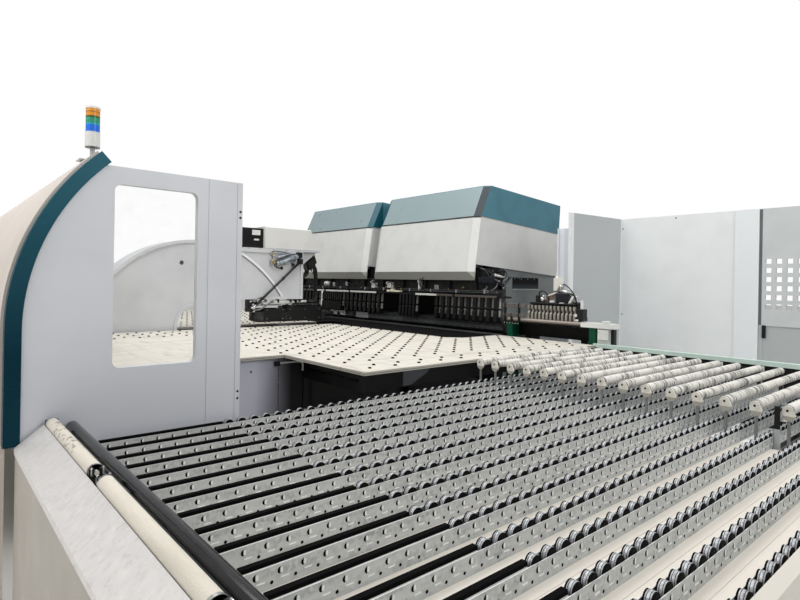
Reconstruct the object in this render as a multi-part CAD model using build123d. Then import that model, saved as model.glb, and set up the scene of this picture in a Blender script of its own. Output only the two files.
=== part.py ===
from build123d import *
import os
from math import atan2, cos, degrees, hypot, radians, sin

os.makedirs("parts", exist_ok=True)

# Panel bender with its worktable, front shield, wheel conveyor and guard fence.
# Millimetres. X runs along the bend line, Y from the operator side to the press,
# Z up. The origin is on the floor under the middle of the bend line.

# Clearances
seat_gap = 0.3
run_gap = 0.05

# Bend length and what follows from it
blade_half = 2640
counterblade_half = blade_half + 50
carrier_half = counterblade_half

# Press bed and counterblade
bed_half = 2300
bed_front_y = -60
bed_rear_y = 2080
bed_top_z = 700
guard_plate_y = (700, 706)
guard_plate_top_z = 1400
guard_plate_inner_x = 1900
guard_plate_inner_top_z = 1740
plinth_height = 80
plinth_inset = 40
counterblade_front_y = -30
counterblade_rear_y = 60
sheet_z = 1070
counterblade_bevel = 20

# Side frames and the hinge of the blankholder
frame_outer_x = 2220
frame_thick = 120
frame_front_y = 650
frame_top_z = 1800
frame_corner = 150
frame_window_y = (800, 1430)
frame_window_z = (1440, 1640)
hinge_y = 1950
hinge_z = 1400
shaft_radius = 50
open_angle = 3.7

# Blankholder, drawn closed and then opened by open_angle
beam_half = 2250
beam_front_y = 80
beam_rear_y = 520
beam_low_z = 1420
beam_top_z = 1790
beam_rib_count = 10
beam_rib_thick = 14
beam_rib_depth = 45
tool_rail_thick = 22
tool_rail_half = blade_half + 70
arm_thick = 150
arm_gap = 20
arm_low_z = 1430
arm_top_z = 1780
boss_radius = 115
post_size = 100
post_inset = 150
middle_post_x = 450
tool_tip_gap = 2
tool_front_y = -35
tool_rear_y = 45
tool_nose_y = 55
tool_waist_z = 1226
tool_block_z = 1246
tool_waist_depth = 20
tool_end_x = blade_half - 40
tool_groups = (
    (-tool_end_x, 1060 - tool_end_x, 118, 56),
    (-1340, -790, 61, 36),
    (-580, 250, 118, 56),
    (770, 1070, 76, 44),
    (tool_end_x - 1060, tool_end_x, 118, 56))

# Covers of the blankholder, drawn closed
cover_inner_x = 109
cover_outer_x = 2215
cover_lip_y = -19
cover_lip_z = 1613
cover_nose_y = -75
cover_nose_z = 1725
cover_split_y = -17
cover_split_z = 2452
cover_split_gap = 24
cover_top_front_y = 157
cover_top_z = 2915
cover_rear_y = 1860
cover_side_low_z = 1825
cover_wall = 12
cover_corner_x = 95
cover_corner_y = 46
cover_skirt_depth = 60
cover_neck_height = 70
cover_neck_wall = 10

# Blade carrier
carrier_front_y = 104
carrier_web_y = 420
carrier_rear_y = 560
carrier_low_z = 800
carrier_top_z = 1222
mouth_low_z = 1040
mouth_top_z = 1088
blade_thick = 36
blade_height = 70
blade_point = 22
guide_x = 1600
guide_width = 200
guide_depth = 120
guide_top_z = 1290

# Worktable
table_top_z = 1065
table_thick = 26
table_front_y = -4900
table_rear_y = -90
table_right_x = 4000
notch_x = 2880
notch_y = -3168
slot_half = 215
seam_x = 1350
narrow_seam_x = 3703
seam_gap = 6
brush_half = counterblade_half
brush_front_y = -880
brush_corner = 150
brush_rear_y = -95
beam_depth = 120
table_beam_width = 70
cross_depth = 80
leg_size = 90
beam_gap = 15
joint_z = (300, 400)
cross_ys = (-1660, -330)
notch_cross_y = notch_y + 260
skirt_thick = 6
skirt_low_z = 100
skirt_x = notch_x - 30
skirt_rear_y = -2970
skirt_seam_y = -3203
gusset_y = (-2800, -2530)
gusset_depth = 110
gusset_sheet = 6

# Manipulator
plate_half = 180
rim_extra = 20
rim_width = 38
wheel_y = -2900
wheel_z = 879
wheel_radius = 1302
throat_y = -2850
throat_z = 1100
throat_radius = 284
throat_slope_y = -2400
arm_under_z = 1434
lower_arm_top_z = throat_z - throat_radius
lower_arm_low_z = 560
frame_low_z = 300
nose_y = -1383
arm_top = 2105
flange_rear_y = -2290
flange_front_y = -1106
flange_thick = 20
gusset_low_z = 1890
gusset_half = 120
rib_centre = (-3182, 501)
rib_radius = 1772
rib_width = 26
rib_proud = 12
rib_rear_y = -2330
rib_low_z = 1491
sight_hole = (-3085, 1891, 27)
head_rear_y = -1970
head_top_y = -1248
head_top_z = 2425
head_half = 175
motor_rear_y = -2290
motor_half = 125
motor_top_z = 2395
motor_fin_count = 9
gripper_y = -1478
gripper_length = 1215
gripper_width = 260
gripper_low_z = 1114
gripper_top_z = 1344
gripper_pad = 24
ram_radius = 70
ram_top_z = 1900
ram_bore_top_z = 1950
lower_disc_radius = 190
lower_disc_thick = 38
lower_spindle_half = 60
track_inner = 150
track_outer = 250
track_height = 180
shoe_ys = (-3700, -2100)
shoe_half = 200
track_front_y = -5120
track_rear_y = -420
travel_forward = 700

# Front shield, end walls and trims
wall_outer_x = 4130
wall_thick = 40
wall_rear_y = -4151
wall_seam_ys = (-4346, -4183)
wall_top_z = 2240
curve_y = -4080
curve_z = 1450
wall_radius = 1100
trim_set_back = 12
trim_proud = 12
trim_low_z = 945
trim_end_angle = 133
skin_radius = 1175
skin_thick = 25
skin_seam_count = 6
skin_seam_width = 6
skin_seam_depth = 6
window_y = (-4811, -4403)
window_z = (1255, 2155)
window_corner = 35
pane_thick = 8
tower_x = 3760
tower_radius = 36
tower_reach = 38
tower_module = 41
tower_pole_radius = 12
tower_pole_height = 71
tower_base_height = 82
tower_cap_height = 11

# Conveyor
conveyor_left_x = 4144
conveyor_right_x = 6700
conveyor_rear_y = -15
rail_count = 17
rail_first_x = 4165
rail_pitch = 152
rail_width = 38
rail_sheet = 2
rail_low_z = 850
rail_top_z = 912
rail_front_y = -4880
rail_rear_y = -110
wheel_row_top_z = 930
skate_wheel_diameter = 48
wheel_pitch = 75
brush_strip_y = (-4870, -4262)
brush_strip_width = 20
brush_strip_shift = -5
brush_strip_top_z = 920
row_rear_y = -150
pan_rear_y = -2100
pan_thick = 3
cross_beam_depth = 57
cross_beam_width = 60
cross_beam_ys = (-4750, -2500, -1300, -250)
side_beam_width = 40
side_beam_height = 150
conveyor_leg = 80
front_leg_y = -4000
fascia_top = (-5092, 1031)
fascia_bottom = (-5202, 942)
fascia_sheet = 4
fascia_return = 26
front_beam_y = (-5088, -5013)
front_beam_z = (900, 995)
tube_y = -4978
tube_z = 1000
tube_radius = 28
felt_y = -5063
felt_z = 1035
felt_radius = 26
felt_spans = ((4170, 4980), (5110, 6000), (6150, 6650))
felt_block = 18
felt_block_half = 25
felt_block_rise = 16
felt_end_gap = 2
journal_radius = 8
rear_rail_y = (-75, -15)
rear_rail_z = (1040, 1078)

# Lifting roller bed
roller_count = 16
roller_first_x = rail_first_x - rail_pitch / 2
roller_radius = 27
roller_z = 1055
roller_front_y = -2035
roller_rear_y = -410
roller_journal_radius = 9
roller_journal = 15
bracket_cap = 18
bracket_gap = 1
bracket_head_radius = 26
bracket_lobe = (6, -25, 30)
bracket_hole_radius = 4
bracket_stem_half = 7
rear_bracket_half = 13
lift_bar_overhang = 14
lift_bar_width = 60
lift_bar_height = 50
lift_bar_top_z = 780
lift_tie_xs = (4580, 5330, 6080)
lift_travel = 160
lift_rod_radius = 15
lift_tube_half = 35
lift_tube_top_z = 560
lift_rod_low_z = 430

# Tool changer beside the press
changer_left_x = counterblade_half + 50
changer_right_x = 3973
changer_rail_end_x = 4150
changer_y = (-20, 140)
changer_z = (1240, 1290)
changer_tray_y = (140, 320)
changer_tray_z = (1075, 1215)
changer_post_x = (3973, 4113)
carriage_x = (3060, 3700)
carriage_y = (60, 260)
carriage_base = 40
carriage_back_z = 1470
carriage_back = 20
comb_count = 13
comb_width = 26
comb_top_z = 1455

# Guard fence
fence_start = (3300, 471)
fence_corner = (3398, 1548)
fence_sheet = 30
fence_low_z = 90
fence_top_z = 2585
fence_post = 60
fence_short_post_z = 2390
fence_mid_x = 4790
fence_mid_width = 243
door_right_x = 6240
door_split_z = 1284
door_hole = 55
door_hole_pitch = 100
door_hole_count = 6
door_hole_first = (5125, 1999)
door_step = 8
door_hinge_zs = (450, 2250)
hinge_pin_radius = 7
hinge_length = 40
hinge_room = 20
box_size = (150, 90, 160)
box_low_z = 1625


def block(x, y, z):
    """Plain block between the two values given for each axis."""
    size = (x[1] - x[0], y[1] - y[0], z[1] - z[0])
    middle = ((x[0] + x[1]) / 2, (y[0] + y[1]) / 2, (z[0] + z[1]) / 2)
    return Pos(*middle) * Box(*size)


def outline(points):
    """Closed flat face through the points."""
    return make_face(Polyline(*points, close=True))


def along_x(face, x):
    """Solid with a section drawn in Y and Z, from x[0] to x[1]."""
    return extrude(Plane.YZ.offset(x[0]) * face, amount=x[1] - x[0])


def round_x(y, z, radius, x):
    """Round bar or hole along X."""
    return along_x(Pos(y, z) * Circle(radius), x)


def round_y(x, z, radius, y):
    """Round bar or hole along Y."""
    return extrude(Plane.XZ.offset(-y[1]) * (Pos(x, z) * Circle(radius)), amount=y[1] - y[0])


def round_z(x, y, radius, z):
    """Round bar or hole along Z."""
    return extrude(Plane.XY.offset(z[0]) * (Pos(x, y) * Circle(radius)), amount=z[1] - z[0])


def both_sides(shape):
    """The shape and its mirror image about the middle of the press."""
    return [shape, mirror(shape, about=Plane.YZ)]


def opened(shape):
    """A blankholder piece, turned from closed to the open position."""
    return shape.rotate(Axis((0, hinge_y, hinge_z), (1, 0, 0)), -open_angle)


def save(name, *shapes):
    """One STEP file; several solids that belong together stay separate."""
    solids = []
    for shape in shapes:
        solids += shape.solids()
    body = solids[0] if len(solids) == 1 else Compound(children=solids)
    body.label = name
    export_step(body, f"parts/{name}.step")


# Press bed and side frames

def press_base():
    """Welded bed on a plinth, with the guide columns of the blade carrier and a guard plate."""
    bed = block((-bed_half, bed_half), (bed_front_y, bed_rear_y), (plinth_height, bed_top_z))
    bed = chamfer(bed.edges().filter_by(Axis.Z), 30)
    bed += block((-bed_half + plinth_inset, bed_half - plinth_inset),
                 (bed_front_y + plinth_inset, bed_rear_y - plinth_inset), (0, plinth_height))
    service_depth = 25
    service_half = 500
    for x in (-1400, 0, 1400):
        bed -= block((x - service_half, x + service_half),
                     (bed_rear_y - service_depth, bed_rear_y + 1), (180, 620))
    for x in (-guide_x, guide_x):
        bed += block((x - guide_width / 2, x + guide_width / 2),
                     (carrier_rear_y + seat_gap, carrier_rear_y + guide_depth), (bed_top_z, guide_top_z))
    plate_end = frame_outer_x - frame_thick - seat_gap
    bed += block((-plate_end, plate_end), guard_plate_y, (bed_top_z, guard_plate_top_z))
    bed += block((-guard_plate_inner_x, guard_plate_inner_x), guard_plate_y,
                 (guard_plate_top_z, guard_plate_inner_top_z))
    return bed


def side_frame():
    """Right side plate that carries the hinge shaft."""
    plate = outline([(frame_front_y, bed_top_z), (frame_front_y, frame_top_z - frame_corner),
                     (frame_front_y + frame_corner, frame_top_z), (bed_rear_y, frame_top_z),
                     (bed_rear_y, bed_top_z)])
    window = Pos(sum(frame_window_y) / 2, sum(frame_window_z) / 2) * Rectangle(
        frame_window_y[1] - frame_window_y[0], frame_window_z[1] - frame_window_z[0])
    bore = Pos(hinge_y, hinge_z) * Circle(shaft_radius + run_gap)
    return along_x(plate - window - bore, (frame_outer_x - frame_thick, frame_outer_x))


def counterblade():
    """Fixed lower blade: a deep beam with a bevelled front edge."""
    section = outline([(counterblade_front_y, bed_top_z),
                       (counterblade_front_y, sheet_z - counterblade_bevel),
                       (counterblade_front_y + counterblade_bevel, sheet_z),
                       (counterblade_rear_y, sheet_z), (counterblade_rear_y, bed_top_z)])
    return along_x(section, (-counterblade_half, counterblade_half))


# Blankholder

def blankholder_beam():
    """Box beam with front ribs, the tool rail under it and posts for the covers."""
    beam = block((-beam_half, beam_half), (beam_front_y, beam_rear_y), (beam_low_z, beam_top_z))
    rib_step = 2 * (beam_half - 60) / (beam_rib_count - 1)
    for i in range(beam_rib_count):
        x = -beam_half + 60 + i * rib_step
        beam += block((x - beam_rib_thick / 2, x + beam_rib_thick / 2),
                      (beam_front_y - beam_rib_depth, beam_front_y), (beam_low_z, beam_top_z - 40))
    beam += block((-tool_rail_half, tool_rail_half), (tool_front_y, beam_front_y + 60),
                  (beam_low_z - tool_rail_thick, beam_low_z))
    outer_post_x = beam_half - post_inset
    for x in (-outer_post_x, -middle_post_x, middle_post_x, outer_post_x):
        beam += block((x - post_size / 2, x + post_size / 2),
                      (beam_rear_y - 2 * post_size, beam_rear_y - post_size),
                      (beam_top_z, cover_top_z - cover_wall - seat_gap))
    return beam


def blankholder_arm():
    """Right arm from the beam back to its hinge shaft."""
    outer_x = frame_outer_x - frame_thick - arm_gap
    arm = outline([(beam_rear_y, arm_low_z), (beam_rear_y, arm_top_z), (1450, arm_top_z),
                   (hinge_y + 40, hinge_z + boss_radius), (hinge_y, hinge_z - boss_radius + 5),
                   (1600, arm_low_z - 60)])
    boss = Pos(hinge_y, hinge_z) * Circle(boss_radius)
    body = along_x(arm + boss, (outer_x - arm_thick, outer_x))
    return body + round_x(hinge_y, hinge_z, shaft_radius, (outer_x, frame_outer_x))


def tool_segment(x, width):
    """One blankholder tool: clamping block, waist and pointed foot."""
    tip_z = sheet_z + tool_tip_gap
    top_z = beam_low_z - tool_rail_thick
    face = outline([(tool_front_y, top_z), (tool_front_y, tool_block_z),
                    (tool_front_y + tool_waist_depth, tool_waist_z + 10),
                    (tool_front_y, tool_waist_z - 14), (tool_front_y, tip_z + 16),
                    (tool_front_y + 16, tip_z), (tool_nose_y, tip_z),
                    (tool_rear_y - 20, tool_waist_z), (tool_rear_y, tool_block_z), (tool_rear_y, top_z)])
    return along_x(face, (x - width / 2, x + width / 2))


def front_y(z):
    """Y of the cover's front face at height z, closed."""
    corners = ((cover_lip_z, cover_lip_y), (cover_nose_z, cover_nose_y),
               (cover_split_z, cover_split_y), (cover_split_z + cover_split_gap, cover_split_y + 9),
               (cover_top_z, cover_top_front_y))
    for (z0, y0), (z1, y1) in zip(corners, corners[1:]):
        if z <= z1:
            return y0 + (y1 - y0) * (z - z0) / (z1 - z0)
    return cover_top_front_y


def cover_form(z_levels, inset):
    """Right cover between the first and last level, drawn inset from its outside."""
    levels = [(front_y(z) + inset, z) for z in z_levels]
    rear = cover_rear_y - inset
    form = along_x(outline(levels + [(rear, z_levels[-1]), (rear, z_levels[0])]),
                   (cover_inner_x + inset, cover_outer_x - inset))
    lean = degrees(atan2(front_y(z_levels[-1]) - front_y(z_levels[1]), z_levels[-1] - z_levels[1]))
    low_y = front_y(z_levels[1]) + inset
    corner_angle = degrees(atan2(cover_corner_y, cover_corner_x))
    corners = ((cover_outer_x - cover_corner_x - inset, 1), (cover_inner_x + cover_corner_x + inset, -1))
    for x, side in corners:
        normal = Vector(0, -1, 0).rotate(Axis.Z, side * corner_angle).rotate(Axis.X, -lean)
        face = Plane(origin=(x, low_y, z_levels[1]), z_dir=normal)
        form = split(form, bisect_by=face, keep=Keep.BOTTOM)
    return form


def cover_lower():
    """Grey lower shell: deep front skirt, shorter sides, neck for the upper shell."""
    levels = [cover_lip_z, cover_nose_z, cover_split_z]
    shell = cover_form(levels, 0)
    shell -= cover_form(levels, cover_wall)
    behind_skirt = (cover_nose_y + cover_skirt_depth, cover_rear_y + 1)
    shell -= block((cover_inner_x - 1, cover_outer_x + 1), behind_skirt, (cover_lip_z - 1, cover_side_low_z))
    neck_inset = cover_wall + seat_gap
    neck = cover_neck(neck_inset) - cover_neck(neck_inset + cover_neck_wall)
    return shell + neck


def cover_neck(inset):
    """Upright neck inside the joint between the two shells."""
    half = cover_neck_height / 2
    front = cover_split_y + cover_corner_y + inset + 20
    plan = Pos((cover_inner_x + cover_outer_x) / 2, (front + cover_rear_y - inset) / 2) * Rectangle(
        cover_outer_x - cover_inner_x - 2 * inset, cover_rear_y - inset - front)
    return extrude(Plane.XY.offset(cover_split_z - half) * plan, amount=2 * half)


def cover_upper():
    """Teal upper shell: leaning front, closed top."""
    low = cover_split_z + cover_split_gap
    levels = [low, low + 1, cover_top_z]
    shell = cover_form(levels, 0)
    hollow = cover_form([low, low + 1, cover_top_z], cover_wall)
    hollow &= block((0, bed_half + 100), (-200, bed_rear_y), (low - 1, cover_top_z - cover_wall))
    return shell - hollow


# Blade carrier

def blade_carrier():
    """C-shaped beam whose jaws hold the upper and the lower blade."""
    section = outline([(carrier_front_y, carrier_low_z), (carrier_front_y, mouth_low_z),
                       (carrier_web_y, mouth_low_z), (carrier_web_y, mouth_top_z),
                       (carrier_front_y, mouth_top_z), (carrier_front_y, carrier_top_z),
                       (carrier_rear_y - 60, carrier_top_z), (carrier_rear_y, carrier_top_z - 60),
                       (carrier_rear_y, carrier_low_z)])
    return along_x(section, (-carrier_half, carrier_half))


def bending_blades():
    """Upper and lower blade, each ground to an edge at the mouth."""
    rear = carrier_front_y - seat_gap
    front = rear - blade_thick
    upper = outline([(rear, mouth_top_z), (rear, mouth_top_z + blade_height),
                     (front, mouth_top_z + blade_height), (front, mouth_top_z + blade_point),
                     (rear - 8, mouth_top_z)])
    lower = outline([(rear, mouth_low_z), (rear, mouth_low_z - blade_height),
                     (front, mouth_low_z - blade_height), (front, mouth_low_z - blade_point),
                     (rear - 8, mouth_low_z)])
    return [along_x(upper, (-blade_half, blade_half)), along_x(lower, (-blade_half, blade_half))]


# Worktable

def plate(points):
    """Table plate through the plan points."""
    return extrude(Plane.XY.offset(table_top_z - table_thick) * outline(points), amount=table_thick)


def table_plates():
    """Right half: inner, outer and narrow edge plate, with the notch at the front."""
    gap = seam_gap / 2
    brush_x = brush_half + seam_gap
    inner = plate([(slot_half, table_front_y), (seam_x - gap, table_front_y),
                   (seam_x - gap, brush_front_y - seat_gap), (slot_half, brush_front_y - seat_gap)])
    outer = plate([(seam_x + gap, table_front_y), (notch_x, table_front_y), (notch_x, notch_y),
                   (narrow_seam_x - gap, notch_y), (narrow_seam_x - gap, table_rear_y),
                   (brush_x, table_rear_y), (brush_x, brush_front_y + brush_corner),
                   (brush_x - brush_corner, brush_front_y - seat_gap),
                   (seam_x + gap, brush_front_y - seat_gap)])
    narrow = plate([(narrow_seam_x + gap, notch_y), (table_right_x, notch_y),
                    (table_right_x, table_rear_y), (narrow_seam_x + gap, table_rear_y)])
    return [inner, outer, narrow]


def brush_field():
    """Black brush surface between the plates and the bend line, corners cut."""
    points = [(-brush_half, brush_rear_y), (-brush_half, brush_front_y + brush_corner),
              (brush_corner - brush_half, brush_front_y), (brush_half - brush_corner, brush_front_y),
              (brush_half, brush_front_y + brush_corner), (brush_half, brush_rear_y)]
    field = extrude(Plane.XY.offset(table_top_z - table_thick) * outline(points), amount=table_thick - 3)
    slot_end = gripper_y + lower_disc_radius + travel_forward + 25
    grip_slot = block((-slot_half, slot_half), (brush_front_y - 1, slot_end), (table_top_z - 50, table_top_z))
    return field - grip_slot


def table_frame():
    """Beams, cross beams, legs, skirt and the travel tracks under the table."""
    under = table_top_z - table_thick
    beam_low = under - beam_depth
    cross_low = beam_low - cross_depth
    pieces = []
    half = table_beam_width / 2
    lines = ((slot_half + leg_size, table_front_y + 20), (seam_x, table_front_y + 20),
             (skirt_x - skirt_thick - leg_size / 2, table_front_y + 20),
             (table_right_x - half - 12, notch_y + 20))
    crosses = (table_front_y + 140, notch_cross_y, *cross_ys)
    for x, start in lines:
        end = counterblade_front_y if x < counterblade_half - 100 else table_rear_y - 20
        pieces.append(block((x - half, x + half), (start, end), (beam_low, under)))
    last_x = lines[-1][0] + half
    for y in crosses:
        end_x = last_x if y > notch_y else lines[2][0] + half
        pieces.append(block((lines[0][0] - half, end_x), (y - half, y + half), (cross_low, beam_low)))
        for x, start in lines:
            if y > start:
                pieces.append(block((x - leg_size / 2, x + leg_size / 2),
                                    (y - leg_size / 2, y + leg_size / 2), (0, cross_low)))
    for y in ((table_front_y, skirt_seam_y - seam_gap / 2), (skirt_seam_y + seam_gap / 2, skirt_rear_y)):
        pieces.append(block((skirt_x - skirt_thick, skirt_x), y, (skirt_low_z, under)))
    rear, front = gusset_y
    gusset = outline([(rear, under), (rear, under - gusset_depth), (rear + 80, under - gusset_depth),
                      (front - 20, under - 30), (front, under)])
    pieces.append(along_x(gusset, (last_x, last_x + gusset_sheet)))
    outer_leg = lines[3][0] + leg_size / 2
    for y in crosses[2:]:
        pieces.append(block((outer_leg, table_right_x + beam_gap), (y - half, y + half), joint_z))
    return pieces


# Manipulator

def manipulator_outline(inset):
    """Side face of the C-frame, drawn inset from its edge."""
    disc = Pos(wheel_y, wheel_z) * Circle(wheel_radius - inset)
    arm = outline([(wheel_y, arm_under_z), (nose_y - inset, arm_under_z),
                   (nose_y - inset, arm_top - inset), (wheel_y, arm_top - inset)])
    foot = outline([(wheel_y, lower_arm_low_z), (gripper_y + 150 - inset, lower_arm_low_z),
                    (gripper_y + 150 - inset, lower_arm_top_z), (wheel_y, lower_arm_top_z)])
    face = disc + arm + foot
    face -= outline([(wheel_y - 2 * wheel_radius, frame_low_z + inset - 2000),
                     (0, frame_low_z + inset - 2000), (0, frame_low_z + inset),
                     (wheel_y - 2 * wheel_radius, frame_low_z + inset)])
    face -= outline([(throat_y, lower_arm_top_z - inset), (0, lower_arm_top_z - inset),
                     (0, arm_under_z + inset), (throat_slope_y, arm_under_z + inset),
                     (throat_y, throat_z + throat_radius + inset)])
    face -= Pos(throat_y, throat_z) * Circle(throat_radius + inset)
    return face


def manipulator_frame():
    """C-frame plate with raised rims, a curved rib, the top flange and its shoes."""
    full = manipulator_outline(0)
    inner = manipulator_outline(rim_width)
    frame = along_x(full, (-plate_half, plate_half))
    rim_half = plate_half + rim_extra
    frame += along_x(full - inner, (-rim_half, rim_half))
    rib = Pos(*rib_centre) * (Circle(rib_radius) - Circle(rib_radius - rib_width))
    rib &= outline([(rib_rear_y, rib_low_z), (nose_y, rib_low_z), (nose_y, arm_top), (rib_rear_y, arm_top)])
    frame += along_x(rib, (-plate_half - rib_proud, plate_half + rib_proud))
    frame += block((-rim_half, rim_half), (flange_rear_y, flange_front_y), (arm_top, arm_top + flange_thick))
    gusset = outline([(nose_y, gusset_low_z), (nose_y, arm_top), (flange_front_y - 10, arm_top)])
    frame += along_x(gusset, (-gusset_half, gusset_half))
    hole_y, hole_z, hole_radius = sight_hole
    frame -= round_x(hole_y, hole_z, hole_radius, (-rim_half - 1, rim_half + 1))
    frame -= round_z(0, gripper_y, ram_radius, (arm_under_z - 1, ram_bore_top_z))
    for y in shoe_ys:
        for side in (-1, 1):
            x = sorted((side * track_inner, side * track_outer))
            frame += block(x, (y - shoe_half, y + shoe_half), (track_height + seat_gap, frame_low_z + 120))
    return frame


def manipulator_head():
    """Hydraulic block cover on top of the nose, leaning back at the front."""
    low = arm_top + flange_thick + seat_gap
    face = outline([(head_rear_y, low), (head_rear_y, head_top_z), (head_top_y, head_top_z),
                    (flange_front_y, low)])
    head = along_x(face, (-head_half, head_half))
    return chamfer(head.edges().filter_by(Axis.Y), 10)


def manipulator_motor():
    """Finned motor behind the head."""
    low = arm_top + flange_thick + seat_gap
    rear = head_rear_y - seat_gap
    motor = block((-motor_half, motor_half), (motor_rear_y, rear), (low, motor_top_z))
    pitch = (motor_top_z - low - 60) / motor_fin_count
    for i in range(motor_fin_count):
        z = low + 40 + i * pitch
        for x in ((-motor_half - 1, -motor_half + 14), (motor_half - 14, motor_half + 1)):
            motor -= block(x, (motor_rear_y + 30, rear - 30), (z, z + pitch * 0.45))
    return motor


def upper_gripper():
    """Long clamp with round ends, a hub on top and a pad along its underside."""
    plan = Pos(0, gripper_y) * SlotOverall(gripper_length, gripper_width, rotation=90)
    pad_plan = Pos(0, gripper_y) * Rectangle(gripper_width - 90, gripper_length - 160)
    shoulder_z = gripper_low_z + 110
    body = extrude(Plane.XY.offset(gripper_low_z + gripper_pad) * plan, amount=shoulder_z - gripper_low_z)
    body += extrude(Plane.XY.offset(gripper_low_z) * pad_plan, amount=gripper_pad)
    body += round_z(0, gripper_y, ram_radius + 35, (shoulder_z, gripper_top_z))
    rib = outline([(gripper_y - gripper_length / 2 + 90, shoulder_z), (gripper_y - 120, gripper_top_z - 30),
                   (gripper_y + 120, gripper_top_z - 30), (gripper_y + gripper_length / 2 - 90, shoulder_z)])
    return body + along_x(rib, (-45, 45))


def lower_gripper():
    """Turning disc flush with the table, on a spindle in the lower arm."""
    top = table_top_z - 2
    disc = round_z(0, gripper_y, lower_disc_radius, (top - lower_disc_thick, top))
    half = lower_spindle_half
    return disc + block((-half, half), (gripper_y - half, gripper_y + half),
                        (lower_arm_top_z + seat_gap, top - lower_disc_thick))


# Front shield

def curved_strip(inner_radius, outer_radius, low_z):
    """Section that follows the shield: an arc from its top edge, then straight down."""
    ring = Circle(outer_radius) - Circle(inner_radius)
    reach = 2 * outer_radius
    end = radians(trim_end_angle)
    ring &= outline([(0, 0), (reach * cos(end), reach * sin(end)), (-reach, reach), (-reach, 0)])
    strip = Pos(curve_y, curve_z) * ring
    return strip + outline([(curve_y - outer_radius, low_z), (curve_y - inner_radius, low_z),
                            (curve_y - inner_radius, curve_z), (curve_y - outer_radius, curve_z)])


def end_wall():
    """Right end wall: curved front edge, window, and two shallow seams."""
    radius = wall_radius - seat_gap
    reach = wall_top_z - curve_z
    top_front_y = curve_y - (radius ** 2 - reach ** 2) ** 0.5
    edge = [Line((wall_rear_y, 0), (wall_rear_y, wall_top_z)),
            Line((wall_rear_y, wall_top_z), (top_front_y, wall_top_z)),
            ThreePointArc((top_front_y, wall_top_z),
                          (curve_y + radius * cos(radians(157)), curve_z + radius * sin(radians(157))),
                          (curve_y - radius, curve_z)),
            Line((curve_y - radius, curve_z), (curve_y - radius, 0)),
            Line((curve_y - radius, 0), (wall_rear_y, 0))]
    face = make_face(edge)
    face -= window_face(0)
    wall = along_x(face, (wall_outer_x - wall_thick, wall_outer_x))
    for y in wall_seam_ys:
        wall -= block((wall_outer_x - 3, wall_outer_x + 1), (y - 2, y + 2), (-1, wall_top_z + 1))
    return wall


def window_face(inset):
    """Window opening, or its pane when drawn inset."""
    return Pos(sum(window_y) / 2, sum(window_z) / 2) * RectangleRounded(
        window_y[1] - window_y[0] - 2 * inset, window_z[1] - window_z[0] - 2 * inset, window_corner - inset)


def front_shield():
    """Rolled sheet shield across the front, with shallow seams between its panels."""
    end = wall_outer_x - wall_thick - seat_gap
    skin = along_x(curved_strip(skin_radius - skin_thick, skin_radius, 0), (-end, end))
    step = 2 * end / skin_seam_count
    seam = curved_strip(skin_radius - skin_seam_depth, skin_radius + 5, -1)
    for i in range(1, skin_seam_count):
        x = -end + i * step
        skin -= along_x(seam, (x - skin_seam_width / 2, x + skin_seam_width / 2))
    return skin


def shield_trim():
    """Coloured edge trim of the right end wall."""
    return along_x(curved_strip(wall_radius, skin_radius - trim_set_back, trim_low_z),
                   (wall_outer_x - wall_thick, wall_outer_x + trim_proud))


def signal_tower():
    """Foot and pole, then base, lens stack and cap as one turned body."""
    end = radians(trim_end_angle)
    edge_y = curve_y + (skin_radius - skin_thick / 2) * cos(end)
    y = edge_y + tower_reach
    z = curve_z + skin_radius * sin(end) + seat_gap
    pole_top = z + 6 + tower_pole_height
    foot = block((tower_x - 45, tower_x + 45), (edge_y - 30, y + 25), (z, z + 6))
    foot += round_z(tower_x, y, tower_pole_radius, (z + 6, pole_top))
    lens_low = pole_top + tower_base_height
    lens_top = lens_low + 3 * tower_module
    tower = round_z(tower_x, y, tower_radius, (pole_top, lens_low))
    tower += round_z(tower_x, y, tower_radius - 2, (lens_low, lens_top))
    tower += round_z(tower_x, y, tower_radius, (lens_top, lens_top + tower_cap_height))
    return [foot, tower]


# Conveyor

def fascia():
    """Folded sheet along the front: back lip, slope and short return."""
    (top_y, top_z), (low_y, low_z) = fascia_top, fascia_bottom
    slope = atan2(top_z - low_z, top_y - low_y)
    shift = fascia_sheet * (1 - cos(slope)) / sin(slope)
    face = outline([(top_y, top_z - fascia_return), (top_y, top_z), (low_y, low_z),
                    (low_y, low_z - fascia_return), (low_y + fascia_sheet, low_z - fascia_return),
                    (low_y + fascia_sheet, low_z - shift), (top_y - fascia_sheet, top_z - 2 * fascia_sheet),
                    (top_y - fascia_sheet, top_z - fascia_return)])
    return along_x(face, (conveyor_left_x, conveyor_right_x))


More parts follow.
